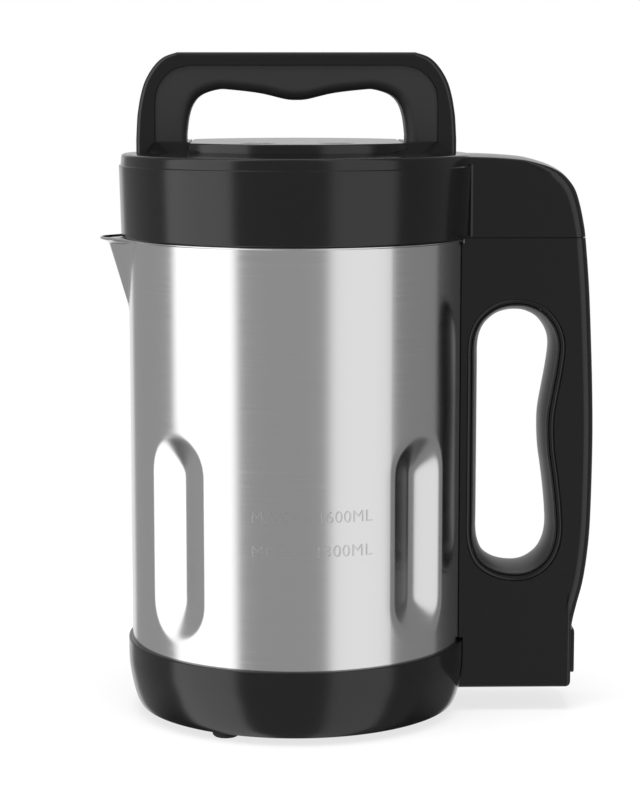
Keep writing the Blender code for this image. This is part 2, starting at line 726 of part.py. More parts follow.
FINISHES = {
    "brushed_steel": ((0.60, 0.60, 0.59), 0.30, 1.0),
    "polished_steel": ((0.65, 0.65, 0.64), 0.15, 1.0),
    "gloss_black": ((0.012, 0.012, 0.013), 0.12, 0.0),
    "satin_black": ((0.020, 0.020, 0.021), 0.40, 0.0),
    "rubber_black": ((0.015, 0.015, 0.015), 0.80, 0.0),
    "grey_plastic": ((0.18, 0.18, 0.18), 0.45, 0.0),
    "cast_aluminium": ((0.62, 0.63, 0.64), 0.40, 1.0),
    "brass": ((0.75, 0.57, 0.26), 0.25, 1.0),
    "copper": ((0.80, 0.42, 0.28), 0.30, 1.0),
    "iron_laminate": ((0.28, 0.28, 0.29), 0.45, 1.0),
    "carbon": ((0.03, 0.03, 0.03), 0.60, 0.0),
    "circuit_green": ((0.02, 0.16, 0.07), 0.45, 0.0),
    "silicone_grey": ((0.45, 0.45, 0.44), 0.60, 0.0),
    "lead_insulation": ((0.70, 0.70, 0.68), 0.55, 0.0),
}


def finish(piece, look, parent):
    """Give a piece its own material and the body that carries it."""
    colour, roughness, metallic = FINISHES[look]
    piece.data.materials.append(material(piece.name + "_" + look, colour, roughness, metallic))
    piece.parent = parent
    return piece


def carrier(name, parent=None, place=(0, 0, 0)):
    """An empty that carries the pieces of one moving body."""
    empty = add_object(name, None)
    empty.location = place
    empty.parent = parent
    return empty


ROOT = carrier("soup_maker_root", None, (ROOT_SHIFT, 0, 0))


# Shared outlines


def base_outline(inset=0.0):
    """The base casing's outer side, from its top edge to its foot."""
    width = BASE_RING_RADIUS - BASE_FOOT_RADIUS
    height = BASE_RING_TOP_Z - BASE_LOW_Z
    return [
        (BASE_RING_RADIUS - width * across - inset, BASE_RING_TOP_Z - height * down)
        for across, down in BASE_OUTLINE_SHARES
    ]


def head_outline(inset=0.0, low_z=SEAM_Z):
    """The head's outer side, from the edge of its flat top down to its lower edge."""
    return [
        (HEAD_TOP_RADIUS, HEAD_TOP_Z - inset),
        (HEAD_CROWN_RADIUS, HEAD_CROWN_Z - inset),
        (HEAD_RADIUS - HEAD_CHAMFER_WIDTH - inset / 2, HEAD_CHAMFER_HIGH_Z - inset),
        (HEAD_RADIUS - inset, HEAD_CHAMFER_LOW_Z - inset / 2),
        (HEAD_RADIUS - inset, HEAD_WIDEST_Z),
        (HEAD_LOW_RADIUS - inset, low_z),
    ]


def handle_outline(corner=HANDLE_CORNER_RADIUS):
    """The side of the handle with the part of the head over it, as one closed outline."""
    reach = HANDLE_REACH - JUG_RADIUS
    height = HANDLE_TOP_Z - HANDLE_BOTTOM_Z
    root_x = JUG_RADIUS - HANDLE_ROOT_DEPTH
    back = [
        (JUG_RADIUS + reach * across, HANDLE_BOTTOM_Z + height * up)
        for across, up in HANDLE_BACK_SHARES
    ]
    heel = [(HANDLE_FOOT_REACH, HANDLE_BOTTOM_Z)]
    if corner:
        middle = (HANDLE_FOOT_REACH - corner, HANDLE_BOTTOM_Z + corner)
        heel = arc(middle, corner, 0, -90, SPAN_STEPS)
    foot_top = (HANDLE_FOOT_REACH, INLET_Z + INLET_BEZEL_HALF_HEIGHT)
    line = smooth_line(back + [foot_top])
    return [(root_x, HANDLE_TOP_Z)] + line + heel + [(root_x, HANDLE_BOTTOM_Z)]


def handle_body(name):
    """The full handle: its edge rounding runs out toward the small corner at the heel."""
    outline = handle_outline()
    radii = []
    for _, up in outline:
        share = min(1, max(0, (up - HANDLE_BOTTOM_Z - HANDLE_CORNER_RADIUS) / HEEL_BLEND_HEIGHT))
        radii.append(HEEL_EDGE_RADIUS + (HANDLE_EDGE_RADIUS - HEEL_EDGE_RADIUS) * share)
    return rounded_prism(name, outline, HANDLE_HALF_WIDTH, radii)


def hole_outline(margin=0.0):
    """The finger hole, grown by a margin."""
    points = [
        (HOLE_LEFT_X + HOLE_WIDTH * across, HOLE_LOW_Z + HOLE_HEIGHT * up)
        for across, up in HOLE_SHARES
    ]
    return grow_outline(smooth_line(points, closed=True), margin)


def panel_outline(margin=0.0):
    """A disc with its two sides cut straight, grown by a margin."""
    radius = PANEL_RADIUS + margin
    half_width = PANEL_HALF_WIDTH + margin
    corner = math.degrees(math.acos(half_width / radius))
    steps = MEDIUM_STEPS // 2
    front = arc((0, 0), radius, corner - 180, -corner, steps)
    rear = arc((0, 0), radius, corner, 180 - corner, steps)
    return front + rear


def mirrored(points):
    """A half outline at +X, followed by its mirror image in reverse order."""
    other = [(-across, up) for across, up in reversed(points) if across > 0]
    return points + other


def scaled_line(shares, half_span, low_z, high_z):
    """A smooth line through points given as shares of a half span and a height."""
    height = high_z - low_z
    return smooth_line([(half_span * across, low_z + height * up) for across, up in shares])


# Jug


def groove_hull(name, angle, inward):
    """A pressed groove: the hull of two cones with their tips on the valley line."""
    side_x = math.sqrt(JUG_RADIUS**2 - GROOVE_HALF_WIDTH**2)
    valley_x = JUG_RADIUS - GROOVE_DEPTH
    slope = GROOVE_HALF_WIDTH / (side_x - valley_x)
    mouth_x = JUG_RADIUS + OVERRUN
    mouth_radius = slope * (mouth_x - valley_x)
    squeeze = GROOVE_HALF_WIDTH / (slope * GROOVE_DEPTH)
    shift = inward * math.hypot(1, slope) / slope
    points = []
    for end_z in (GROOVE_LOW_Z + GROOVE_HALF_WIDTH, GROOVE_HIGH_Z - GROOVE_HALF_WIDTH):
        points.append((valley_x - shift, 0, end_z))
        for across, up in arc((0, 0), mouth_radius, 0, 360, GROOVE_STEPS)[1:]:
            points.append((mouth_x - shift, across, end_z + up * squeeze))
    piece = hull(name, points, CUTTERS)
    piece.rotation_euler = (0, 0, math.radians(angle))
    return piece


def spout_hull(name, inward, rise):
    """A pouring spout: the hull of its rounded mouth and its foot on the jug wall."""
    shift = inward * SPOUT_WALL_SHARE
    height = JUG_RIM_Z - SPOUT_FOOT_Z
    foot = Vector((STEEL_WALL / 2 - JUG_RADIUS + shift, 0, SPOUT_FOOT_Z))
    root_x = math.sqrt(JUG_BORE**2 - SPOUT_HALF_WIDTH**2)
    mouth = arc((SPOUT_TIP_RADIUS - SPOUT_REACH, 0), SPOUT_TIP_RADIUS, 110, 250, 8)
    mouth = mouth + [(-root_x, SPOUT_HALF_WIDTH), (-root_x, -SPOUT_HALF_WIDTH)]
    points = [foot]
    for across, side in mouth:
        rim = Vector((across + shift, side, JUG_RIM_Z))
        points.append(foot + (rim - foot) * (1 + rise / height))
    points.append((-root_x + HANDLE_ROOT_DEPTH, 0, JUG_RIM_Z + rise))
    return hull(name, points, CUTTERS)


def make_jug(jug):
    """The drawn steel jug with its grooves, spout and rolled rim."""
    corner = JUG_CORNER_RADIUS
    bend = arc((JUG_RADIUS - corner, POT_UNDERSIDE_Z + corner), corner, 0, -90, SPAN_STEPS)
    outside = [
        (JUG_RADIUS + RIM_BEAD_WIDTH, JUG_RIM_Z),
        (JUG_RADIUS + RIM_BEAD_WIDTH, JUG_RIM_Z - RIM_BEAD_HEIGHT),
        (JUG_RADIUS, JUG_RIM_Z - RIM_BEAD_HEIGHT - RIM_BEAD_WIDTH),
        *bend,
    ]
    pot = turned("jug_pot", solid_profile(outside, POT_UNDERSIDE_Z, JUG_RIM_Z), closed=False)
    inner_corner = corner - STEEL_WALL
    bend = arc((JUG_BORE - inner_corner, JUG_FLOOR_Z + inner_corner), inner_corner, 0, -90, SPAN_STEPS)
    top_z = JUG_RIM_Z + OVERRUN
    inside = solid_profile([(JUG_BORE, top_z), *bend], JUG_FLOOR_Z, top_z)
    space = turned("jug_space", inside, closed=False, collection=CUTTERS)
    join(pot, spout_hull("spout_outside", 0, 0))
    join(space, spout_hull("spout_inside", STEEL_WALL, OVERRUN))
    for angle in GROOVE_ANGLES:
        cut(pot, groove_hull(f"groove_outside_{angle}", angle, 0))
        cut(space, groove_hull(f"groove_inside_{angle}", angle, STEEL_WALL))
    cut(pot, space)
    finish(pot, "brushed_steel", jug)


def screw_piece(name, head, point, look, parent):
    """A screw with its head's seat at head, and its tip at point."""
    head, point = Vector(head), Vector(point)
    away = (head - point).normalized()
    length = (head - point).length
    profile = [
        (0, SCREW_HEAD_HEIGHT),
        (SCREW_HEAD_RADIUS / 2, SCREW_HEAD_HEIGHT),
        (SCREW_HEAD_RADIUS, SCREW_HEAD_HEIGHT / 2),
        (SCREW_HEAD_RADIUS, 0),
        (SCREW_RADIUS, 0),
        (SCREW_RADIUS, SCREW_RADIUS - length),
        (0, -length),
    ]
    piece = turned(name, profile, SMALL_STEPS, closed=False)
    piece.location = head
    piece.rotation_mode = "QUATERNION"
    piece.rotation_quaternion = away.to_track_quat("Z", "Y")
    return finish(piece, look, parent)


def make_base(jug):
    """The base casing, its cover plate, feet and screws."""
    outer = base_outline()
    inner = base_outline(BASE_WALL)
    ring = [
        *outer,
        (PLATE_RADIUS + CLEARANCE, BASE_LOW_Z),
        (PLATE_RADIUS + CLEARANCE, LIP_TOP_Z),
        (BASE_FOOT_RADIUS - BASE_WALL, LIP_TOP_Z),
        *[point for point in reversed(inner) if LIP_TOP_Z + BASE_WALL < point[1] < SHELF_TOP_Z - BASE_WALL],
        (JUG_RADIUS - BASE_WALL, SHELF_TOP_Z - SHELF_THICKNESS),
        (SHELF_INNER_RADIUS, SHELF_TOP_Z - SHELF_THICKNESS),
        (SHELF_INNER_RADIUS, SHELF_TOP_Z),
        (JUG_RADIUS + CLEARANCE, SHELF_TOP_Z),
        (JUG_RADIUS + CLEARANCE, BASE_RING_TOP_Z),
    ]
    casing = turned("base_ring", ring)
    plate = turned(
        "base_plate",
        [
            (0, PLATE_TOP_Z),
            (PLATE_RADIUS + PLATE_LIP - OVERRUN, PLATE_TOP_Z),
            (PLATE_RADIUS + PLATE_LIP - OVERRUN, LIP_TOP_Z + CLEARANCE),
            (PLATE_RADIUS, LIP_TOP_Z + CLEARANCE),
            (PLATE_RADIUS, BASE_LOW_Z),
            (0, BASE_LOW_Z),
        ],
        MOTOR_STEPS,
        closed=False,
    )
    boss_low_z = PLATE_TOP_Z + CLEARANCE
    seat_z = BASE_LOW_Z + SCREW_HEAD_HEIGHT + CLEARANCE
    for index in range(3):
        angle = 60 + 120 * index
        foot = on_circle(BASE_SCREW_CIRCLE, angle)
        up = Vector((0, 0, 1))
        boss_top_z = SHELF_TOP_Z - SHELF_THICKNESS / 2
        boss = rod(f"base_boss_{index}", SCREW_BOSS_RADIUS, foot + up * boss_low_z, foot + up * boss_top_z)
        join(casing, boss)
        bore_top_z = seat_z + BASE_SCREW_DEPTH + CLEARANCE
        bore = rod(
            f"base_bore_{index}",
            SCREW_RADIUS + CLEARANCE,
            foot,
            foot + up * bore_top_z,
            SMALL_STEPS,
        )
        cut(casing, bore)
        cut(plate, bore)
        sink = rod(
            f"base_sink_{index}",
            SCREW_HEAD_RADIUS + CLEARANCE,
            foot,
            foot + up * seat_z,
            SMALL_STEPS,
        )
        cut(plate, sink)
        head = foot + up * (seat_z - CLEARANCE)
        tip = foot + up * (seat_z + BASE_SCREW_DEPTH)
        base_screw(f"base_screw_{index + 1}", head, tip, jug)
        make_foot(index, plate, jug)
    cut(casing, lead_bore("ring_lead_bore"))
    finish(casing, "gloss_black", jug)
    finish(plate, "satin_black", jug)


def base_screw(name, head, tip, jug):
    """A screw that is driven up into the base casing."""
    screw_piece(name, head, tip, "polished_steel", jug)


def make_foot(index, plate, jug):
    """A rubber foot whose stem is pressed into the base plate."""
    place = on_circle(FOOT_CIRCLE, 120 * index)
    stem_top_z = LIP_TOP_Z
    profile = [
        (0, stem_top_z),
        (FOOT_STEM_RADIUS, stem_top_z),
        (FOOT_STEM_RADIUS, FOOT_HEIGHT),
        (FOOT_RADIUS, FOOT_HEIGHT),
        (FOOT_RADIUS, FOOT_HEIGHT / 3),
        (FOOT_RADIUS - FOOT_HEIGHT / 3, 0),
        (0, 0),
    ]
    foot = turned(f"rubber_foot_{index + 1}", profile, MEDIUM_STEPS, closed=False)
    foot.location = place
    finish(foot, "rubber_black", jug)
    top = place + Vector((0, 0, stem_top_z + CLEARANCE))
    socket = rod(f"foot_socket_{index}", FOOT_STEM_RADIUS + CLEARANCE, place, top)
    cut(plate, socket)


def lead_bore(name):
    """The hole that lets the heater's lead out of the base into the handle."""
    start = (BASE_FOOT_RADIUS - PLASTIC_WALL - BASE_WALL, -LEAD_Y, LEAD_HOLE_Z)
    end = (JUG_RADIUS + HANDLE_ROOT_DEPTH, -LEAD_Y, LEAD_HOLE_Z)
    return rod(name, LEAD_HOLE_RADIUS, start, end, SMALL_STEPS)


def make_heater(jug):
    """The heater under the jug's floor, with its element and thermostat."""
    plate = rod("heater_plate", HEATER_RADIUS, (0, 0, HEATER_LOW_Z), (0, 0, SHELF_TOP_Z), LARGE_STEPS)
    finish(plate, "cast_aluminium", jug)
    half_gap = ELEMENT_GAP_ANGLE / 2
    bend = ELEMENT_DIAMETER
    loop = []
    for step in range(LARGE_STEPS // 2 + 1):
        angle = half_gap + (360 - ELEMENT_GAP_ANGLE) * step / (LARGE_STEPS // 2)
        loop.append(on_circle(ELEMENT_CIRCLE, angle, ELEMENT_Z))
    ends = []
    for angle, side in ((half_gap, 1), (-half_gap, -1)):
        tangent = on_circle(bend, angle - 90 * side)
        corner = on_circle(ELEMENT_CIRCLE, angle, ELEMENT_Z) + tangent
        ends.append([
            corner - Vector((0, 0, ELEMENT_PIN_LENGTH)),
            corner - tangent * 0.15 - Vector((0, 0, ELEMENT_PIN_LENGTH / 3)),
            corner - tangent * 0.6,
        ])
    element = tube("heating_element", ends[0] + loop + ends[1][::-1], ELEMENT_DIAMETER)
    finish(element, "polished_steel", jug)
    top_z = HEATER_LOW_Z - CLEARANCE
    low_z = top_z - THERMOSTAT_HEIGHT
    thermostat = turned(
        "thermostat",
        [
            (0, top_z),
            (THERMOSTAT_RADIUS, top_z),
            (THERMOSTAT_RADIUS, low_z + OVERRUN),
            (THERMOSTAT_RADIUS - OVERRUN, low_z),
            (0, low_z),
        ],
        MEDIUM_STEPS,
        closed=False,
    )
    finish(thermostat, "grey_plastic", jug)


# Side handle


def jug_envelope(name):
    """The jug and its base casing, grown by the clearance that the handle keeps to them."""
    above = BASE_RING_TOP_Z + CLEARANCE
    shell = [(across + CLEARANCE, up) for across, up in base_outline()]
    bead = JUG_RADIUS + RIM_BEAD_WIDTH + CLEARANCE
    bead_low_z = JUG_RIM_Z - RIM_BEAD_HEIGHT - CLEARANCE
    profile = [
        (0, JUG_RIM_Z + OVERRUN),
        (bead, JUG_RIM_Z + OVERRUN),
        (bead, bead_low_z),
        (JUG_RADIUS + CLEARANCE, bead_low_z - RIM_BEAD_WIDTH),
        (JUG_RADIUS + CLEARANCE, above),
        (BASE_RING_RADIUS + CLEARANCE, above),
        *shell[1:],
        (BASE_FOOT_RADIUS + CLEARANCE, 0),
        (0, 0),
    ]
    return turned(name, profile, closed=False, collection=CUTTERS)


def handle_space(low_z, high_z, name):
    """The hollow of the handle between two heights, clear of the finger hole's wall."""
    margin = PLASTIC_WALL
    outline = grow_outline(handle_outline(0), -margin)
    half_width = HANDLE_HALF_WIDTH - margin
    space = prism(name, outline, -half_width, half_width, collection=CUTTERS)
    inner_x = JUG_RADIUS + CLEARANCE + PLASTIC_WALL
    window = box(
        name + "_window",
        (inner_x, -HANDLE_HALF_WIDTH, low_z),
        (HANDLE_REACH + OVERRUN, HANDLE_HALF_WIDTH, high_z),
    )
    keep_inside(space, window)
    wall = LINER_WALL + CLEARANCE + LIP_WIDTH + PLASTIC_WALL
    if low_z < HOLE_LOW_Z:
        core = prism(name + "_core", hole_outline(wall), -HANDLE_HALF_WIDTH, HANDLE_HALF_WIDTH)
        cut(space, core)
    return space


def handle_screw_places():
    """The three places of the handle's screws, as (x, z)."""
    return (
        (HANDLE_SCREW_X, HANDLE_SCREW_LOW_Z),
        (HANDLE_SCREW_X, HANDLE_SCREW_HIGH_Z),
        (HANDLE_SCREW_BACK_X, HANDLE_SCREW_BACK_Z),
    )


def bracket_window(name, z):
    """The window in the handle's inner wall that a bracket comes through."""
    return box(
        name,
        (JUG_BORE, -BRACKET_HALF_WIDTH - CLEARANCE, z - BRACKET_HALF_HEIGHT - CLEARANCE),
        (
            JUG_RADIUS + CLEARANCE + PLASTIC_WALL + OVERRUN,
            BRACKET_HALF_WIDTH + CLEARANCE,
            z + BRACKET_HALF_HEIGHT + CLEARANCE,
        ),
    )


def handle_half(name, side, jug):
    """One half of the handle: side is -1 at the front and 1 at the rear."""
    half = handle_body(name)
    tag = "front" if side < 0 else "rear"
    reach = HANDLE_REACH + OVERRUN
    cut(half, jug_envelope(f"envelope_{tag}"))
    top_z = HANDLE_JOIN_Z - PLASTIC_WALL
    cut(half, handle_space(0, top_z, f"space_{tag}"))
    for place, (x, z) in enumerate(handle_screw_places()):
        boss = rod(
            f"handle_boss_{tag}_{place}",
            HANDLE_BOSS_RADIUS,
            (x, side * (HANDLE_HALF_WIDTH - PLASTIC_WALL / 2), z),
            (x, side * (BRACKET_WEB_THICKNESS / 2 + CLEARANCE), z),
        )
        join(half, boss)
    liner = prism(
        f"hole_{tag}",
        hole_outline(LINER_WALL + CLEARANCE),
        -HANDLE_HALF_WIDTH - OVERRUN,
        HANDLE_HALF_WIDTH + OVERRUN,
    )
    near, far = side * (HANDLE_HALF_WIDTH - LIP_DEPTH), side * (HANDLE_HALF_WIDTH + OVERRUN)
    lip = prism(
        f"lip_{tag}", hole_outline(LINER_WALL + CLEARANCE + LIP_WIDTH), min(near, far), max(near, far)
    )
    cut(half, liner, lip)
    for place, (x, z) in enumerate(handle_screw_places()):
        bore_end = HANDLE_HALF_WIDTH + OVERRUN if side > 0 else -HANDLE_SCREW_TIP_Y - CLEARANCE
        bore = rod(
            f"handle_bore_{tag}_{place}",
            SCREW_RADIUS + CLEARANCE,
            (x, 0, z),
            (x, bore_end, z),
            SMALL_STEPS,
        )
        cut(half, bore)
        if side > 0:
            sink = rod(
                f"handle_sink_{place}",
                SCREW_HEAD_RADIUS + CLEARANCE,
                (x, HANDLE_HALF_WIDTH - HANDLE_SCREW_SINK, z),
                (x, HANDLE_HALF_WIDTH + OVERRUN, z),
                SMALL_STEPS,
            )
            cut(half, sink)
    for place, z in enumerate((HANDLE_SCREW_LOW_Z, HANDLE_SCREW_HIGH_Z)):
        cut(half, bracket_window(f"bracket_window_{tag}_{place}", z))
    cut(half, connector_window(f"socket_window_{tag}", top_z - OVERRUN, HANDLE_JOIN_Z + OVERRUN))
    cut(half, inlet_window(f"inlet_window_{tag}"))
    cut(half, lead_bore(f"lead_bore_{tag}"))
    near, far = side * CLEARANCE / 2, -side * (HANDLE_HALF_WIDTH + OVERRUN)
    other_side = box(
        f"other_side_{tag}", (0, min(near, far), 0), (reach, max(near, far), HANDLE_TOP_Z + OVERRUN)
    )
    above = box(
        f"above_{tag}",
        (0, -HANDLE_HALF_WIDTH - OVERRUN, HANDLE_JOIN_Z),
        (reach, HANDLE_HALF_WIDTH + OVERRUN, HANDLE_TOP_Z + OVERRUN),
    )
    cut(half, above, other_side)
    return finish(half, "gloss_black", jug)


def connector_window(name, low_z, high_z):
    """The rectangular hole round the plug or the socket between head and handle."""
    return box(
        name,
        (CONNECTOR_LOW_X - CLEARANCE, -CONNECTOR_HALF_WIDTH - CLEARANCE, low_z),
        (CONNECTOR_HIGH_X + CLEARANCE, CONNECTOR_HALF_WIDTH + CLEARANCE, high_z),
    )


def inlet_window(name):
    """The hole in the back of the handle that holds the power inlet."""
    return box(
        name,
        (
            INLET_BACK_X,
            -INLET_HALF_WIDTH - CLEARANCE,
            INLET_Z - INLET_HALF_HEIGHT - CLEARANCE,
        ),
        (
            HANDLE_REACH,
            INLET_HALF_WIDTH + CLEARANCE,
            INLET_Z + INLET_HALF_HEIGHT + CLEARANCE,
        ),
    )


def make_handle(jug):
    """The handle's halves, liner, brackets, screws, socket, inlet and leads."""
    handle_half("handle_front_half", -1, jug)
    handle_half("handle_rear_half", 1, jug)
    depth = HANDLE_HALF_WIDTH - LIP_DEPTH
    liner = prism("finger_liner", hole_outline(LINER_WALL), -depth, depth)
    inside = prism("liner_inside", hole_outline(), -HANDLE_HALF_WIDTH, HANDLE_HALF_WIDTH)
    cut(liner, inside)
    finish(liner, "satin_black", jug)
    for name, z in (("lower", HANDLE_SCREW_LOW_Z), ("upper", HANDLE_SCREW_HIGH_Z)):
        back_x = JUG_RADIUS + CLEARANCE
        plate = box(
            f"handle_bracket_{name}",
            (back_x, -BRACKET_HALF_WIDTH, z - BRACKET_HALF_HEIGHT),
            (back_x + BRACKET_THICKNESS, BRACKET_HALF_WIDTH, z + BRACKET_HALF_HEIGHT),
        )
        web = box(
            f"bracket_web_{name}",
            (
                back_x + BRACKET_THICKNESS / 2,
                -BRACKET_WEB_THICKNESS / 2,
                z - BRACKET_WEB_HALF_HEIGHT,
            ),
            (BRACKET_WEB_REACH, BRACKET_WEB_THICKNESS / 2, z + BRACKET_WEB_HALF_HEIGHT),
        )
        join(plate, web)
        bore = rod(
            f"bracket_bore_{name}",
            SCREW_RADIUS + CLEARANCE,
            (HANDLE_SCREW_X, -BRACKET_WEB_THICKNESS, z),
            (HANDLE_SCREW_X, BRACKET_WEB_THICKNESS, z),
            SMALL_STEPS,
        )
        cut(plate, bore)
        finish(plate, "polished_steel", jug)
    for index, (x, z) in enumerate(handle_screw_places()):
        seat_y = HANDLE_HALF_WIDTH - HANDLE_SCREW_SINK + CLEARANCE
        tip_y = -HANDLE_SCREW_TIP_Y
        name = f"handle_screw_{index + 1}"
        screw_piece(name, (x, seat_y, z), (x, tip_y, z), "polished_steel", jug)
    make_socket(jug)
    make_inlet(jug)
    make_leads(jug)


def make_socket(jug):
    """The socket that the head's plug drops into."""
    top_z = HANDLE_JOIN_Z
    wall_z = HANDLE_JOIN_Z - PLASTIC_WALL - CLEARANCE
    low_z = top_z - CONNECTOR_HEIGHT
    socket = box(
        "jug_connector",
        (CONNECTOR_LOW_X, -CONNECTOR_HALF_WIDTH, low_z),
        (CONNECTOR_HIGH_X, CONNECTOR_HALF_WIDTH, top_z),
    )
    flange = box(
        "connector_flange",
        (CONNECTOR_LOW_X - CONNECTOR_FLANGE, -CONNECTOR_HALF_WIDTH - CONNECTOR_FLANGE, low_z + OVERRUN),
        (CONNECTOR_HIGH_X + CONNECTOR_FLANGE, CONNECTOR_HALF_WIDTH + CONNECTOR_FLANGE, wall_z),
    )
    join(socket, flange)
    for index, x in enumerate(CONNECTOR_PIN_XS):
        hole = rod(
            f"socket_hole_{index}",
            CONNECTOR_SOCKET_RADIUS,
            (x, 0, top_z - CONNECTOR_SOCKET_DEPTH),
            (x, 0, top_z + OVERRUN),
            SMALL_STEPS,
        )
        cut(socket, hole)
    finish(socket, "grey_plastic", jug)


def make_inlet(jug):
    """The power inlet on the back of the handle, with its bezel, socket and pins."""
    inlet = box(
        "power_inlet",
        (INLET_BACK_X, -INLET_HALF_WIDTH, INLET_Z - INLET_HALF_HEIGHT),
        (INLET_FACE_X + INLET_BEZEL_DEPTH / 2, INLET_HALF_WIDTH, INLET_Z + INLET_HALF_HEIGHT),
    )
    bezel = box(
        "inlet_bezel",
        (INLET_FACE_X, -INLET_BEZEL_HALF_WIDTH, INLET_Z - INLET_BEZEL_HALF_HEIGHT),
        (INLET_FACE_X + INLET_BEZEL_DEPTH, INLET_BEZEL_HALF_WIDTH, INLET_Z + INLET_BEZEL_HALF_HEIGHT),
    )
    recess = box(
        "inlet_recess",
        (
            INLET_BACK_X + INLET_BACK_WALL,
            INLET_WALL - INLET_HALF_WIDTH,
            INLET_Z + INLET_WALL - INLET_HALF_HEIGHT,
        ),
        (
            INLET_FACE_X + INLET_BEZEL_DEPTH + OVERRUN,
            INLET_HALF_WIDTH - INLET_WALL,
            INLET_Z + INLET_HALF_HEIGHT - INLET_WALL,
        ),
    )
    join(inlet, bezel)
    cut(inlet, recess)
    pins = (
        ("live", -INLET_PIN_PITCH, -INLET_EARTH_RISE / 2),
        ("earth", 0, INLET_EARTH_RISE),
        ("neutral", INLET_PIN_PITCH, -INLET_EARTH_RISE / 2),
    )
    for name, y, rise in pins:
        thick, tall = INLET_PIN_HALF_THICKNESS, INLET_PIN_HALF_HEIGHT
        z = INLET_Z + rise
        start_x = INLET_BACK_X - INLET_PIN_TAIL
        end_x = start_x + INLET_PIN_LENGTH
        pin = box(f"inlet_pin_{name}", (start_x, y - thick, z - tall), (end_x, y + thick, z + tall))
        finish(pin, "brass", jug)
        gap = CLEARANCE
        hole = box(
            f"inlet_pin_hole_{name}",
            (start_x, y - thick - gap, z - tall - gap),
            (end_x, y + thick + gap, z + tall + gap),
        )
        cut(inlet, hole)
    finish(inlet, "satin_black", jug)


def lead_points(places):
    """Points of a lead, given as distances from the jug's wall and over the handle's foot."""
    return [(JUG_RADIUS + out, HANDLE_BOTTOM_Z + up) for out, up in places]


def make_leads(jug):
    """The two leads that run up the back of the handle to the socket."""
    top_z = HANDLE_JOIN_Z - CONNECTOR_HEIGHT - LEAD_DIAMETER / 4
    channel = lead_points(LEAD_CHANNEL) + [(JUG_RADIUS + out, SEAM_Z - drop) for out, drop in LEAD_TOP]
    channel = channel + [(CONNECTOR_PIN_XS[1], top_z)]
    start_x = INLET_BACK_X - INLET_PIN_TAIL - CLEARANCE
    inlet_route = [(start_x, INLET_Z + INLET_EARTH_RISE)] + lead_points(INLET_LEAD_START)
    path = smooth_line([Vector((x, 0, z)) for x, z in inlet_route + channel])
    side = [Vector((x, LEAD_Y, z)) for x, _, z in path]
    finish(tube("inlet_lead", side, LEAD_DIAMETER, 1), "lead_insulation", jug)
    pin = on_circle(ELEMENT_CIRCLE, -ELEMENT_GAP_ANGLE / 2)
    floor_z = ELEMENT_Z - ELEMENT_PIN_LENGTH
    heater_route = [
        (pin.x + OVERRUN * 3, floor_z + OVERRUN),
        (HEATER_RADIUS + LEAD_HEATER_GAP, LEAD_START_Z),
        (PLATE_RADIUS, LEAD_HOLE_Z),
        (JUG_RADIUS + LEAD_RUN, LEAD_HOLE_Z),
        *lead_points(HEATER_LEAD_START),
    ]
    path = smooth_line([Vector((x, 0, z)) for x, z in heater_route + channel])
    side = [Vector((x, -LEAD_Y, z)) for x, _, z in path]
    finish(tube("heater_lead", side, LEAD_DIAMETER, 1), "lead_insulation", jug)


# Head


def make_head_shell(head):
    """The head's shell: the round cover and the hollow part over the handle."""
    outer = solid_profile(head_outline(), SEAM_Z, HEAD_TOP_Z)
    shell = turned("head_shell", outer, closed=False)
    over = handle_body("over_handle")
    keep = box(
        "keep_over_handle",
        (JUG_RADIUS - HANDLE_ROOT_DEPTH, -HANDLE_HALF_WIDTH - OVERRUN, SEAM_Z),
        (HANDLE_REACH + OVERRUN, HANDLE_HALF_WIDTH + OVERRUN, HANDLE_TOP_Z + OVERRUN),
    )
    keep_inside(over, keep)
    join(shell, over)
    low_z = SEAM_Z - OVERRUN
    inside = solid_profile(head_outline(PLASTIC_WALL, low_z), low_z, HEAD_INSIDE_TOP_Z)
    cut(shell, turned("head_space", inside, closed=False, collection=CUTTERS))
    floor_z = SEAM_Z + PLASTIC_WALL
    cut(shell, handle_space(floor_z, HANDLE_TOP_Z, "over_space"))
    mouth = box(
        "over_mouth",
        (HEAD_CROWN_RADIUS, PLASTIC_WALL - HANDLE_HALF_WIDTH, floor_z),
        (
            HEAD_RADIUS + PLASTIC_WALL,
            HANDLE_HALF_WIDTH - PLASTIC_WALL,
            HANDLE_TOP_Z - PLASTIC_WALL - HEAD_CHAMFER_WIDTH,
        ),
    )
    cut(shell, mouth)
    cut(shell, prism("panel_hole", panel_outline(CLEARANCE), HEAD_CROWN_Z - BASE_WALL * 2, PANEL_TOP_Z, "Z"))
    cut(shell, connector_window("plug_window", SEAM_Z - OVERRUN, floor_z + OVERRUN))
    for index, angle in enumerate(HEAD_SCREW_ANGLES):
        foot = on_circle(HEAD_SCREW_CIRCLE, angle)
        up = Vector((0, 0, 1))
        boss = rod(
            f"head_boss_{index}",
            SCREW_BOSS_RADIUS - CLEARANCE,
            foot + up * (DECK_TOP_Z + CLEARANCE),
            foot + up * (HEAD_INSIDE_TOP_Z + CLEARANCE),
        )
        join(shell, boss)
        bore = rod(
            f"head_bore_{index}",
            SCREW_RADIUS + CLEARANCE,
            foot + up * SEAM_Z,
            foot + up * (DECK_LOW_Z + HEAD_SCREW_DEPTH + CLEARANCE),
            SMALL_STEPS,
        )
        cut(shell, bore)
    finish(shell, "gloss_black", head)


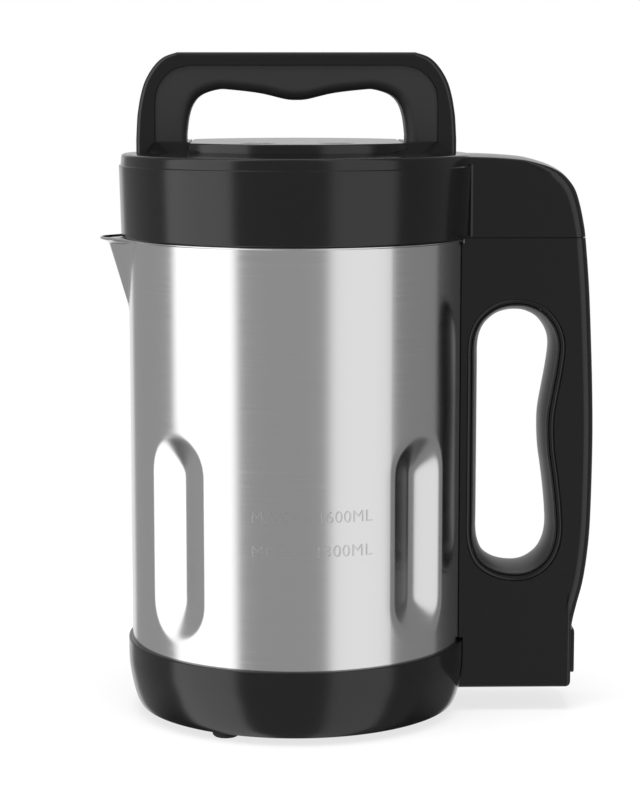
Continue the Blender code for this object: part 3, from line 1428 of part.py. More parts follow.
def make_head_base(head):
    """The moulded floor of the head, its seal, probes and screws."""
    rim = HEAD_LOW_RADIUS - PLASTIC_WALL - CLEARANCE
    skirt = JUG_BORE - CLEARANCE * 2
    seal_high_z = DECK_LOW_Z - SEAL_DROP + SEAL_HEIGHT / 2
    seal_low_z = seal_high_z - SEAL_HEIGHT
    groove = skirt - SEAL_WIDTH
    low_z = DECK_LOW_Z - SKIRT_DEPTH
    profile = [
        (rim, DECK_LOW_Z + BASE_RIM_HEIGHT),
        (rim, DECK_LOW_Z),
        (skirt, DECK_LOW_Z),
        (skirt, seal_high_z + CLEARANCE),
        (groove, seal_high_z + CLEARANCE),
        (groove, seal_low_z - CLEARANCE),
        (skirt, seal_low_z - CLEARANCE),
        (skirt, low_z),
        (skirt - SKIRT_WALL, low_z),
        (skirt - SKIRT_WALL, DECK_LOW_Z),
        (CUP_RADIUS + CLEARANCE, DECK_LOW_Z),
        (CUP_RADIUS + CLEARANCE, DECK_TOP_Z),
        (rim - BASE_RIM_WALL, DECK_TOP_Z),
        (rim - BASE_RIM_WALL, DECK_LOW_Z + BASE_RIM_HEIGHT),
    ]
    floor = turned("head_base", profile)
    seal = turned(
        "head_seal",
        [
            (JUG_BORE - CLEARANCE, seal_high_z - CLEARANCE),
            (JUG_BORE - CLEARANCE, seal_low_z + CLEARANCE),
            (skirt - CLEARANCE, seal_low_z),
            (groove + CLEARANCE, seal_low_z),
            (groove + CLEARANCE, seal_high_z),
            (skirt - CLEARANCE, seal_high_z),
        ],
    )
    finish(seal, "silicone_grey", head)
    for index, angle in enumerate(HEAD_SCREW_ANGLES):
        foot = on_circle(HEAD_SCREW_CIRCLE, angle)
        up = Vector((0, 0, 1))
        bore = rod(
            f"deck_bore_{index}",
            SCREW_RADIUS + CLEARANCE,
            foot + up * (DECK_LOW_Z - OVERRUN),
            foot + up * (DECK_TOP_Z + OVERRUN),
            SMALL_STEPS,
        )
        cut(floor, bore)
        head_place = foot + up * (DECK_LOW_Z - CLEARANCE)
        tip = foot + up * (DECK_LOW_Z + HEAD_SCREW_DEPTH)
        screw_piece(f"head_screw_{index + 1}", head_place, tip, "polished_steel", head)
    probes = (
        ("overflow_probe", 150, OVERFLOW_PROBE_RADIUS, OVERFLOW_PROBE_LOW_Z),
        ("temperature_probe", 90, TEMPERATURE_PROBE_RADIUS, TEMPERATURE_PROBE_LOW_Z),
    )
    for name, angle, radius, tip_z in probes:
        place = on_circle(PROBE_CIRCLE, angle)
        seat_z = DECK_TOP_Z + CLEARANCE
        profile = [
            (0, seat_z + PROBE_TAIL),
            (radius, seat_z + PROBE_TAIL),
            (radius, seat_z + PROBE_FLANGE_HEIGHT),
            (PROBE_FLANGE_RADIUS, seat_z + PROBE_FLANGE_HEIGHT),
            (PROBE_FLANGE_RADIUS, seat_z),
            (radius, seat_z),
            *arc((0, tip_z + radius), radius, 0, -90, 2),
        ]
        probe = turned(name, profile, SMALL_STEPS, closed=False)
        probe.location = place
        finish(probe, "polished_steel", head)
        hole = rod(
            name + "_hole",
            radius + CLEARANCE,
            place + Vector((0, 0, DECK_LOW_Z - OVERRUN)),
            place + Vector((0, 0, DECK_TOP_Z + OVERRUN)),
            SMALL_STEPS,
        )
        cut(floor, hole)
    finish(floor, "satin_black", head)


def make_plug(head):
    """The plug over the handle's socket, with its three pins."""
    low_z = SEAM_Z
    shoulder_z = SEAM_Z + PLASTIC_WALL + CLEARANCE
    top_z = low_z + HEAD_CONNECTOR_HEIGHT
    plug = box(
        "head_connector",
        (CONNECTOR_LOW_X, -CONNECTOR_HALF_WIDTH, low_z),
        (CONNECTOR_HIGH_X, CONNECTOR_HALF_WIDTH, top_z),
    )
    flange = box(
        "plug_flange",
        (CONNECTOR_LOW_X - CONNECTOR_FLANGE, -CONNECTOR_HALF_WIDTH - CONNECTOR_FLANGE, shoulder_z),
        (CONNECTOR_HIGH_X + CONNECTOR_FLANGE, CONNECTOR_HALF_WIDTH + CONNECTOR_FLANGE, top_z - OVERRUN),
    )
    join(plug, flange)
    for index, x in enumerate(CONNECTOR_PIN_XS):
        top = top_z + OVERRUN
        tip_z = SEAM_Z - CONNECTOR_PIN_REACH
        radius = CONNECTOR_PIN_RADIUS
        collar = radius + CONNECTOR_FLANGE / 2
        profile = [
            (0, top),
            (collar, top),
            (collar, top_z + CLEARANCE),
            (radius, top_z + CLEARANCE),
            (radius, tip_z + radius),
            (radius / 2, tip_z),
            (0, tip_z),
        ]
        pin = turned(f"connector_pin_{index + 1}", profile, SMALL_STEPS, closed=False)
        pin.location = (x, 0, 0)
        finish(pin, "brass", head)
        hole = rod(
            f"plug_hole_{index}",
            radius + CLEARANCE,
            (x, 0, low_z - OVERRUN),
            (x, 0, top_z + OVERRUN),
            SMALL_STEPS,
        )
        cut(plug, hole)
    finish(plug, "grey_plastic", head)


def make_panel(head):
    """The raised panel on top of the head, with its buttons' holes and the board under it."""
    low_z = PANEL_FLANGE_TOP_Z - PANEL_FLANGE_THICKNESS
    panel = prism(
        "top_panel",
        panel_outline(),
        low_z + PANEL_EDGE_RADIUS,
        PANEL_TOP_Z,
        "Z",
        edge=PANEL_EDGE_RADIUS,
        edge_steps=0,
    )
    join(panel, prism("panel_flange", panel_outline(PANEL_FLANGE), low_z, PANEL_FLANGE_TOP_Z, "Z"))
    cut(
        panel,
        prism("panel_space", panel_outline(-PANEL_WALL), low_z - OVERRUN, PANEL_UNDERSIDE_Z, "Z"),
    )
    board_top = BOARD_TOP_Z + CLEARANCE
    for index, x in enumerate((-BOARD_POST_X, BOARD_POST_X)):
        post = rod(
            f"board_post_{index}",
            BOARD_POST_RADIUS,
            (x, BOARD_POST_Y, board_top),
            (x, BOARD_POST_Y, PANEL_TOP_Z - PANEL_WALL / 2),
            SMALL_STEPS,
        )
        join(panel, post)
    for x in (-BUTTON_X, BUTTON_X):
        hole = rod(
            f"button_hole_{'start' if x < 0 else 'mode'}",
            BUTTON_RADIUS + CLEARANCE,
            (x, BUTTON_Y, PANEL_UNDERSIDE_Z - OVERRUN),
            (x, BUTTON_Y, PANEL_TOP_Z + OVERRUN),
        )
        cut(panel, hole)
    finish(panel, "gloss_black", head)
    board = box(
        "control_board",
        (-BOARD_HALF_LENGTH, BOARD_FAR_Y, BOARD_LOW_Z),
        (BOARD_HALF_LENGTH, BOARD_NEAR_Y, BOARD_TOP_Z),
    )
    transformer = box(
        "transformer",
        (
            -TRANSFORMER_HALF_LENGTH,
            TRANSFORMER_Y - TRANSFORMER_HALF_WIDTH,
            BOARD_LOW_Z - TRANSFORMER_HEIGHT,
        ),
        (TRANSFORMER_HALF_LENGTH, TRANSFORMER_Y + TRANSFORMER_HALF_WIDTH, BOARD_LOW_Z + BOARD_THICKNESS / 2),
    )
    join(board, transformer)
    for x in (-BUTTON_X, BUTTON_X):
        switch = box(
            f"switch_{'start' if x < 0 else 'mode'}",
            (x - SWITCH_HALF_SIZE, BUTTON_Y - SWITCH_HALF_SIZE, BOARD_TOP_Z - BOARD_THICKNESS / 2),
            (x + SWITCH_HALF_SIZE, BUTTON_Y + SWITCH_HALF_SIZE, BOARD_TOP_Z + SWITCH_HEIGHT),
        )
        join(board, switch)
    finish(board, "circuit_green", head)


def make_button(name, x, head):
    """A round push button that goes down into the panel."""
    body = carrier(name + "_body", head, (x, BUTTON_Y, PANEL_TOP_Z))
    flange_top = -PANEL_WALL - CLEARANCE
    flange_low = flange_top - BUTTON_FLANGE_THICKNESS
    profile = [
        (0, BUTTON_RISE),
        (BUTTON_RADIUS - BUTTON_RISE, BUTTON_RISE),
        (BUTTON_RADIUS, 0),
        (BUTTON_RADIUS, flange_top),
        (BUTTON_RADIUS + BUTTON_FLANGE, flange_top),
        (BUTTON_RADIUS + BUTTON_FLANGE, flange_low),
        (0, flange_low),
    ]
    finish(turned(name, profile, MEDIUM_STEPS, closed=False), "satin_black", body)


def make_carry_handle(head):
    """The arched handle: a gloss frame on feet that flare over the head, and a satin grip."""
    outer = scaled_line(CARRY_OUTER_SHARES, CARRY_HALF_SPAN, CARRY_FOOT_Z, CARRY_TOP_Z)
    band = scaled_line(CARRY_BAND_SHARES, CARRY_BAND_HALF_SPAN, CARRY_FOOT_Z, CARRY_BAND_TOP_Z)
    gap = scaled_line(CARRY_GAP_SHARES, CARRY_GAP_HALF_SPAN, CARRY_FOOT_Z, CARRY_GAP_PEAK_Z)
    foot_z = CARRY_FOOT_Z
    outside = [(CARRY_HALF_SPAN, foot_z)] + outer
    inside = [(CARRY_BAND_HALF_SPAN, foot_z)] + band
    arch = mirrored(outside) + mirrored(inside)[::-1]
    half_width = CARRY_FRAME_HALF_WIDTH
    frame = prism(
        "carry_handle_frame", arch, -half_width, half_width, edge=CARRY_FRAME_EDGE_RADIUS
    )
    for side, tag in ((-1, "left"), (1, "right")):
        points = []
        for y_side in (-1, 1):
            near_x = PANEL_HALF_WIDTH + CLEARANCE
            points.append((near_x * side, PAD_TOP_HALF_LENGTH * y_side, PAD_TOP_Z))
            points.append((PAD_FOOT_NEAR_X * side, PAD_FOOT_HALF_LENGTH * y_side, foot_z))
            far_y = PAD_TOP_HALF_LENGTH - PAD_TOP_FAR_X / 4
            points.append((PAD_TOP_FAR_X * side, far_y * y_side, PAD_TOP_Z))
        reach = math.degrees(math.asin(PAD_FOOT_HALF_LENGTH / PAD_FOOT_RADIUS))
        for across, up in arc((0, 0), PAD_FOOT_RADIUS, -reach, reach, MEDIUM_STEPS // 2):
            points.append((across * side, up, foot_z))
        join(frame, hull(f"pad_{tag}", points))
    envelope = [(across, up + CLEARANCE) for across, up in head_outline()]
    crown = turned("crown_envelope", solid_profile(envelope, SEAM_Z, HEAD_TOP_Z + CLEARANCE), closed=False)
    cut(frame, crown)
    above_panel = PANEL_TOP_Z + CLEARANCE
    cut(frame, prism("panel_envelope", panel_outline(CLEARANCE), SEAM_Z, above_panel, "Z"))
    limit = [(CARRY_BAND_HALF_SPAN - CLEARANCE, CARRY_GRIP_FOOT_Z)]
    limit = limit + [(across - CLEARANCE, up - CLEARANCE) for across, up in band]
    lower = [(CARRY_GAP_HALF_SPAN, CARRY_GRIP_FOOT_Z)]
    lower = lower + [point for point in gap if point[1] > CARRY_GRIP_FOOT_Z + OVERRUN]
    grip = mirrored(limit) + mirrored(lower)[::-1]
    half_width = CARRY_GRIP_HALF_WIDTH
    bar = prism("carry_handle_grip", grip, -half_width, half_width, edge=CARRY_GRIP_EDGE_RADIUS)
    finish(frame, "gloss_black", head)
    finish(bar, "satin_black", head)


# Motor


def make_motor_cup(head):
    """The steel cup and mast that carry the motor and the shaft into the jug."""
    wall = STEEL_WALL
    profile = [
        (CUP_FLANGE_RADIUS, CUP_FLANGE_TOP_Z),
        (CUP_FLANGE_RADIUS, CUP_FLANGE_LOW_Z),
        (CUP_RADIUS, CUP_FLANGE_LOW_Z),
        (CUP_RADIUS, CUP_STEP_Z),
        (CUP_RADIUS - wall, CUP_STEP_Z - wall),
        (CUP_STEP_RADIUS, CUP_STEP_Z - wall),
        (CUP_CONE_RADIUS, CUP_CONE_Z),
        (MAST_RADIUS, MAST_TOP_Z),
        (MAST_RADIUS, MAST_LOW_Z),
        (MAST_BORE, MAST_LOW_Z),
        (MAST_BORE, MAST_TOP_Z + wall / 2),
        (CUP_CONE_RADIUS - wall, CUP_CONE_Z + wall),
        (CUP_STEP_RADIUS - wall, CUP_STEP_Z),
        (CUP_BORE, CUP_STEP_Z),
        (CUP_BORE, CUP_FLANGE_TOP_Z),
    ]
    finish(turned("motor_cup", profile, MOTOR_STEPS), "polished_steel", head)


def ring_piece(name, radius, bore, low_z, high_z, look, parent, steps=MEDIUM_STEPS):
    """A plain turned ring."""
    piece = turned(name, [(radius, high_z), (radius, low_z), (bore, low_z), (bore, high_z)], steps)
    return finish(piece, look, parent)


def make_motor(head):
    """The motor's fixed pieces."""
    outer = CUP_BORE - CLEARANCE
    ring_piece(
        "motor_stator", outer, STATOR_BORE, STATOR_LOW_Z, STATOR_TOP_Z, "iron_laminate", head, MOTOR_STEPS
    )
    hub = FRAME_HUB_RADIUS
    pocket = BEARING_RADIUS + CLEARANCE
    throat = COMMUTATOR_RADIUS + CLEARANCE
    flange_top = FRAME_LOW_Z + FRAME_FLANGE_THICKNESS
    neck_z = BEARING_LOW_Z - FRAME_WALL
    profile = [
        (hub, FRAME_TOP_Z),
        (hub, neck_z),
        (FRAME_OPENING_RADIUS, flange_top),
        (outer, flange_top),
        (outer, FRAME_LOW_Z),
        (FRAME_OPENING_RADIUS, FRAME_LOW_Z),
        (throat + CLEARANCE, neck_z - FRAME_WALL),
        (throat + CLEARANCE, neck_z),
        (SHAFT_RADIUS + SHAFT_BORE_GAP + FRAME_WALL, neck_z),
        (SHAFT_RADIUS + SHAFT_BORE_GAP + FRAME_WALL, BEARING_LOW_Z - CLEARANCE),
        (pocket, BEARING_LOW_Z - CLEARANCE),
        (pocket, FRAME_TOP_Z),
    ]
    frame = turned("motor_frame", profile, MOTOR_STEPS)
    for side, tag in ((-1, "left"), (1, "right")):
        start = COMMUTATOR_RADIUS + CLEARANCE
        ends = sorted((side * start, side * (start + BRUSH_LENGTH)))
        thick, tall = BRUSH_HALF_THICKNESS, BRUSH_HALF_HEIGHT
        brush = box(
            f"carbon_brush_{tag}",
            (ends[0], -thick, BRUSH_Z - tall),
            (ends[1], thick, BRUSH_Z + tall),
        )
        finish(brush, "carbon", head)
        outer_wall = thick + CLEARANCE + FRAME_WALL / 2
        ends = sorted((side * (start + BRUSH_LENGTH / 2), side * (start + BRUSH_LENGTH)))
        holder = box(
            f"brush_holder_{tag}",
            (ends[0], -outer_wall, FRAME_LOW_Z + FRAME_FLANGE_THICKNESS / 2),
            (ends[1], outer_wall, BRUSH_Z + tall + CLEARANCE + FRAME_WALL / 2),
        )
        join(frame, holder)
        gap = CLEARANCE
        channel = box(
            f"brush_channel_{tag}",
            (-FRAME_OPENING_RADIUS if side < 0 else 0, -thick - gap, BRUSH_Z - tall - gap),
            (0 if side < 0 else FRAME_OPENING_RADIUS, thick + gap, BRUSH_Z + tall + gap),
        )
        cut(frame, channel)
    finish(frame, "grey_plastic", head)
    bore = SHAFT_RADIUS + SHAFT_BORE_GAP
    ring_piece("upper_bearing", BEARING_RADIUS, bore, BEARING_LOW_Z, FRAME_TOP_Z, "polished_steel", head)
    tube_fit = MAST_BORE - CLEARANCE
    top_z = MAST_TOP_Z - CLEARANCE
    low_z = top_z - LOWER_BEARING_HEIGHT
    ring_piece("lower_bearing", tube_fit, bore, low_z, top_z, "polished_steel", head)
    seal_top = MAST_LOW_Z + SEAL_RING_HEIGHT
    ring_piece("shaft_seal", tube_fit, bore, MAST_LOW_Z, seal_top, "rubber_black", head)
    bush_low = seal_top + CLEARANCE
    ring_piece("shaft_bush", tube_fit, bore, bush_low, bush_low + BUSH_HEIGHT, "brass", head)


def make_rotor(rotor):
    """The shaft and everything that turns with it."""
    bore = SHAFT_RADIUS + SHAFT_BORE_GAP
    nut_low_z = BLADE_NUT_TOP_Z - BLADE_NUT_HEIGHT
    collar_low_z = BLADE_TOP_Z + CLEARANCE
    profile = [
        (0, SHAFT_TOP_Z),
        (SHAFT_RADIUS, SHAFT_TOP_Z),
        (SHAFT_RADIUS, collar_low_z + SHAFT_COLLAR_HEIGHT),
        (SHAFT_COLLAR_RADIUS, collar_low_z + SHAFT_COLLAR_HEIGHT),
        (SHAFT_COLLAR_RADIUS, collar_low_z),
        (SHAFT_RADIUS, collar_low_z),
        (SHAFT_RADIUS, nut_low_z + OVERRUN),
        (0, nut_low_z + OVERRUN),
    ]
    finish(turned("motor_shaft", profile, MEDIUM_STEPS, closed=False), "polished_steel", rotor)
    middle_z = STATOR_LOW_Z + STATOR_HEIGHT / 2
    half = ARMATURE_HEIGHT / 2
    ring_piece("armature", ARMATURE_RADIUS, bore, middle_z - half, middle_z + half, "copper", rotor)
    high_z = COMMUTATOR_LOW_Z + COMMUTATOR_HEIGHT
    ring_piece("commutator", COMMUTATOR_RADIUS, bore, COMMUTATOR_LOW_Z, high_z, "copper", rotor)
    fan_profile = [
        (FAN_HUB_RADIUS, FAN_LOW_Z + FAN_HEIGHT),
        (FAN_HUB_RADIUS, FAN_LOW_Z + FAN_DISC_THICKNESS),
        (FAN_RADIUS, FAN_LOW_Z + FAN_DISC_THICKNESS),
        (FAN_RADIUS, FAN_LOW_Z),
        (bore, FAN_LOW_Z),
        (bore, FAN_LOW_Z + FAN_HEIGHT),
    ]
    fan = turned("cooling_fan", fan_profile, MEDIUM_STEPS)
    for index in range(FAN_BLADES):
        blade = box(
            f"fan_blade_{index}",
            (FAN_HUB_RADIUS - OVERRUN / 2, -FAN_BLADE_THICKNESS / 2, FAN_LOW_Z + FAN_DISC_THICKNESS / 2),
            (FAN_RADIUS - OVERRUN / 2, FAN_BLADE_THICKNESS / 2, FAN_LOW_Z + FAN_HEIGHT - OVERRUN / 2),
        )
        angle = math.radians(360 * index / FAN_BLADES)
        blade.rotation_euler = (0, 0, angle)
        middle = Vector(blade.location)
        blade.location = Matrix.Rotation(angle, 3, "Z") @ middle
        join(fan, blade)
    finish(fan, "grey_plastic", rotor)
    make_blade(rotor)


def bent_strip(name, lift):
    """A strip with both ends bent up by lift, or down where it is negative."""
    low, thick = BLADE_Z, BLADE_THICKNESS
    top = [(BLADE_REACH, low + thick + lift), (BLADE_FLAT_REACH, low + thick)]
    bottom = [(BLADE_FLAT_REACH, low), (BLADE_REACH, low + lift)]
    outline = top + [(-x, z) for x, z in reversed(top)] + [(-x, z) for x, z in reversed(bottom)] + bottom
    return prism(name, outline, -BLADE_WIDTH / 2, BLADE_WIDTH / 2)


def make_blade(rotor):
    """The cross-shaped blade with two tips up and two tips down, and its nut."""
    blade = bent_strip("blade", BLADE_RISE)
    down = bent_strip("blade_down_strip", -BLADE_DROP)
    down.rotation_euler = (math.pi / 2, 0, math.pi / 2)
    join(blade, down)
    bore = rod(
        "blade_bore",
        SHAFT_RADIUS + SHAFT_BORE_GAP,
        (0, 0, BLADE_Z - OVERRUN),
        (0, 0, BLADE_TOP_Z + OVERRUN),
    )
    cut(blade, bore)
    finish(blade, "polished_steel", rotor)
    low_z = BLADE_NUT_TOP_Z - BLADE_NUT_HEIGHT
    nut = rod(
        "blade_nut", BLADE_NUT_RADIUS, (0, 0, low_z), (0, 0, BLADE_NUT_TOP_Z), BLADE_NUT_SIDES
    )
    thread = rod(
        "nut_thread",
        SHAFT_RADIUS + SHAFT_BORE_GAP,
        (0, 0, low_z + OVERRUN - CLEARANCE),
        (0, 0, BLADE_Z + OVERRUN),
    )
    cut(nut, thread)
    finish(nut, "polished_steel", rotor)


def main():
    """Build the whole soup maker."""
    jug = carrier("jug_body", ROOT)
    head = carrier("head_body", ROOT)
    rotor = carrier("rotor_body", head)
    make_jug(jug)
    make_base(jug)
    make_heater(jug)
    make_handle(jug)
    make_head_shell(head)
    make_head_base(head)
    make_plug(head)
    make_panel(head)
    make_button("start_button", -BUTTON_X, head)
    make_button("mode_button", BUTTON_X, head)
    make_carry_handle(head)
    make_motor_cup(head)
    make_motor(head)
    make_rotor(rotor)


main()
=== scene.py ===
# %% [markdown]
# # A jug soup maker, dressed for its picture
# A steel jug has a heater in its base, a side handle, and a head that lifts off with the
# motor and the blade. The CAD model gives the sizes and the moving bodies. This lesson
# builds the surfaces that the eye meets, one piece at a time.

import json
import math

import bpy
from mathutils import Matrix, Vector


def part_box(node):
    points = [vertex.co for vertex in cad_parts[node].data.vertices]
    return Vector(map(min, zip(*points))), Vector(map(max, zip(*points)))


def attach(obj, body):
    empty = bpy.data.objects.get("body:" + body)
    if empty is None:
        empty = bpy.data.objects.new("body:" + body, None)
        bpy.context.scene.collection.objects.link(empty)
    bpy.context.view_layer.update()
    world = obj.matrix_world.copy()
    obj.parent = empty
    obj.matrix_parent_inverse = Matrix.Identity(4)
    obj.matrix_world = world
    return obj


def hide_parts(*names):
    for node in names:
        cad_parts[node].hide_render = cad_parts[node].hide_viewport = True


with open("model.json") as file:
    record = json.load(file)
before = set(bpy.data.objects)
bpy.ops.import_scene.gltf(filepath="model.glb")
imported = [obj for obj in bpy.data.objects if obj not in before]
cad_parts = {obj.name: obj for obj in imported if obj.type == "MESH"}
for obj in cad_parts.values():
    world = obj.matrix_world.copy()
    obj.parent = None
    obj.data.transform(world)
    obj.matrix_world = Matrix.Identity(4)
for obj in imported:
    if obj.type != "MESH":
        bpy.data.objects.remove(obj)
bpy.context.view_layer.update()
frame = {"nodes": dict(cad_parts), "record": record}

# %% [markdown]
# ## Sizes
# The jug's axis and the main heights are read from the CAD nodes, so that a changed
# model moves the picture with it. Small roundings are named here in millimetres.

# %% Sizes from the frame
MM = 0.001
ring_low, ring_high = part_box("base_ring")
AXIS = Vector(((ring_low.x + ring_high.x) / 2, 0, 0))
pot_low, pot_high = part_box("jug_pot")
shell_low, shell_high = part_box("head_shell")
half_low, half_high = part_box("handle_front_half")
BEAD = 1.2 * MM
JUG_R = pot_high.y - BEAD
RIM_Z = pot_high.z
FLOOR_Z = pot_low.z
SEAM_Z = shell_low.z
HEAD_TOP_Z = shell_high.z
HANDLE_HALF = -half_low.y
HANDLE_FOOT_Z = half_low.z
HANDLE_BACK_X = half_high.x - AXIS.x
WALL = 2.5 * MM
STEEL = 0.8 * MM
WELD = 0.005 * MM
print("jug radius", round(JUG_R, 4), "rim at", round(RIM_Z, 4), "handle reach", round(HANDLE_BACK_X, 4))

# %% [markdown]
# ## Drawing by revolving
# Most of this object is turned. One point is extruded along the profile, corner by
# corner, and then spun round the axis. The spin can run in sweeps of different fineness,
# so that a pressed groove gets many columns and a plain wall only a few.


# %% Helpers for turned pieces
def switch(mode):
    """Go into edit mode or back to object mode."""
    bpy.ops.object.mode_set(mode=mode)


def start_fresh():
    """Leave edit mode and select nothing."""
    if bpy.context.object and bpy.context.object.mode != "OBJECT":
        switch("OBJECT")
    bpy.ops.object.select_all(action="DESELECT")


def take(piece):
    """Select one piece alone and work on it."""
    start_fresh()
    piece.select_set(True)
    bpy.context.view_layer.objects.active = piece


def settle(piece, angle=35):
    """Put a piece's place into its mesh and shade it smooth, except over sharp edges."""
    take(piece)
    bpy.ops.object.transform_apply(location=True, rotation=True, scale=True)
    bpy.ops.object.shade_smooth_by_angle(angle=math.radians(angle))
    return piece


def weld(flatten=False):
    """In edit mode, merge double points and turn the faces outward, then leave it."""
    bpy.ops.mesh.select_all(action="SELECT")
    bpy.ops.mesh.remove_doubles(threshold=WELD)
    if flatten:
        bpy.ops.mesh.dissolve_limited(angle_limit=math.radians(0.1))
    bpy.ops.mesh.normals_make_consistent(inside=False)
    switch("OBJECT")


def chain(name, points):
    """One point, extruded from place to place, left in edit mode."""
    start_fresh()
    bpy.ops.mesh.primitive_plane_add(size=MM, location=[a + b for a, b in zip(AXIS, points[0])])
    piece = bpy.context.object
    piece.name = name
    switch("EDIT")
    bpy.ops.mesh.merge(type="CENTER")
    for near, far in zip(points, points[1:]):
        step = [b - a for a, b in zip(near, far)]
        bpy.ops.mesh.extrude_vertices_move(TRANSFORM_OT_translate={"value": step})
    bpy.ops.mesh.select_all(action="SELECT")
    return piece


def turned(name, profile, steps=96, sweeps=()):
    """Spin a profile of (radius, height) points round the jug's axis."""
    piece = chain(name, [(radius, 0, height) for radius, height in profile])
    for angle, count in sweeps or ((360, steps),):
        bpy.ops.mesh.spin(steps=count, angle=math.radians(angle), center=AXIS, axis=(0, 0, 1))
    weld()
    return settle(piece)


def arc(centre, radius, start, end, steps):
    """Points on an arc between two angles in degrees."""
    turns = [math.radians(start + (end - start) * i / steps) for i in range(steps + 1)]
    return [(centre[0] + radius * math.cos(t), centre[1] + radius * math.sin(t)) for t in turns]


def keep_flat(piece, angle=30):
    """Shade the rounded edges smooth and keep the large faces beside them flat."""
    settle(piece, angle)
    return use_modifier(piece, "WEIGHTED_NORMAL", keep_sharp=True, weight=100)


def use_modifier(piece, kind, **settings):
    """Add a modifier, set it, and apply it."""
    modifier = piece.modifiers.new(kind.lower(), kind)
    for key, value in settings.items():
        setattr(modifier, key, value)
    take(piece)
    bpy.ops.object.modifier_apply(modifier=modifier.name)
    return piece


def round_edges(piece, width, segments=3, angle=50):
    """Round the edges that turn by more than an angle."""
    limit = math.radians(angle)
    use_modifier(
        piece, "BEVEL", width=width, segments=segments, limit_method="ANGLE", angle_limit=limit
    )


def carve(piece, cutter, operation="DIFFERENCE"):
    """Cut one piece out of another, or join or keep it, and clear the cutter away."""
    use_modifier(piece, "BOOLEAN", operation=operation, solver="EXACT", object=cutter)
    bpy.data.objects.remove(cutter)
    return piece


def drill(piece, place, radius, depth, steps=32, turn=0.0):
    """Cut a round hole through a place, upright or turned about X."""
    start_fresh()
    bpy.ops.mesh.primitive_cylinder_add(
        radius=radius, depth=depth, vertices=steps, location=place, rotation=(turn, 0, 0)
    )
    return carve(piece, settle(bpy.context.object))


print("helpers ready")

# %% [markdown]
# ## Drawing by outline
# The handles are a side view with a thickness and rounded edges. A few points carry the
# shape and a smooth line runs through them. A flat curve fills the outline, its depth
# makes the thickness, and its bevel rounds the edges.


# %% Helpers for outlines
def smooth_line(points, steps=6, closed=False):
    """A Catmull-Rom line through the points."""
    count = len(points)
    line = []
    for index in range(count if closed else count - 1):
        near = [index - 1, index, index + 1, index + 2]
        near = [n % count if closed else min(max(n, 0), count - 1) for n in near]
        p0, p1, p2, p3 = (Vector(points[n]) for n in near)
        for step in range(steps):
            t = step / steps
            bend = 2 * p1 + (p2 - p0) * t + (2 * p0 - 5 * p1 + 4 * p2 - p3) * t * t
            line.append(tuple((bend + (3 * p1 - p0 - 3 * p2 + p3) * t**3) / 2))
    return line if closed else line + [tuple(points[-1])]


def grow(points, distance):
    """Move a closed outline outward."""
    count = len(points)
    area = sum(points[i - 1][0] * points[i][1] - points[i][0] * points[i - 1][1] for i in range(count))
    side = 1 if area > 0 else -1
    grown = []
    for i in range(count):
        edges = [Vector(points[i]) - Vector(points[i - 1])]
        edges.append(Vector(points[(i + 1) % count]) - Vector(points[i]))
        normals = [Vector((edge.y, -edge.x)).normalized() * side for edge in edges]
        middle = (normals[0] + normals[1]).normalized()
        grown.append(tuple(Vector(points[i]) + middle * distance / middle.dot(normals[0])))
    return grown


def new_object(name, data):
    """An object for some data, linked into the scene."""
    made = bpy.data.objects.new(name, data)
    bpy.context.scene.collection.objects.link(made)
    return made


def flat_curve(name, points):
    """A closed flat curve through points."""
    curve = bpy.data.curves.new(name, "CURVE")
    curve.dimensions = "2D"
    spline = curve.splines.new("POLY")
    spline.points.add(len(points) - 1)
    for point, (across, up) in zip(spline.points, points):
        point.co = (across, up, 0, 1)
    spline.use_cyclic_u = True
    return new_object(name, curve)


def into_mesh(piece, flatten=False):
    """Make a curve a mesh and weld it."""
    take(piece)
    bpy.ops.object.convert(target="MESH")
    switch("EDIT")
    weld(flatten)
    return bpy.context.object


def slab(name, outline, low, high, along="Y", edge=0.0, edge_steps=4):
    """A filled outline with a thickness along Y or Z and rounded edges."""
    piece = flat_curve(name, outline)
    piece.data.fill_mode = "BOTH"
    piece.data.extrude = (high - low) / 2 - edge
    piece.data.bevel_depth = edge
    piece.data.bevel_resolution = edge_steps
    piece.data.offset = -edge
    if along == "Y":
        piece.location = AXIS + Vector((0, (low + high) / 2, 0))
        piece.rotation_euler = (math.pi / 2, 0, 0)
    else:
        piece.location = AXIS + Vector((0, 0, (low + high) / 2))
    return settle(into_mesh(piece, flatten=True))


def block(name, low, high):
    """A plain box between two corners, for cutting."""
    start_fresh()
    low, high = Vector(low), Vector(high)
    bpy.ops.mesh.primitive_cube_add(size=1, location=AXIS + (low + high) / 2, scale=high - low)
    piece = bpy.context.object
    piece.name = name
    return settle(piece)


def mirrored(points):
    """A half outline at +X, then its mirror image in reverse order."""
    return points + [(-across, up) for across, up in reversed(points) if across > 0]


print("outline helpers ready")

# %% [markdown]
# ## Finishes
# One function turns a hex colour into the linear numbers that a shader wants, and one
# adds a node with its settings.


# %% Material helpers
def linear(code):
    """Linear colour of an sRGB hex code."""
    parts = [int(code[i : i + 2], 16) / 255 for i in (1, 3, 5)]
    return [p / 12.92 if p <= 0.04045 else ((p + 0.055) / 1.055) ** 2.4 for p in parts] + [1]


def add_node(tree, kind, values=(), links=(), **settings):
    """Add a node with properties and input values, and link its inputs to sockets or nodes."""
    made = tree.nodes.new("ShaderNode" + kind)
    for key, value in settings.items():
        setattr(made, key, value)
    for key, value in dict(values).items():
        made.inputs[key].default_value = value
    for key, output in dict(links).items():
        tree.links.new(getattr(output, "outputs", [output])[0], made.inputs[key])
    return made


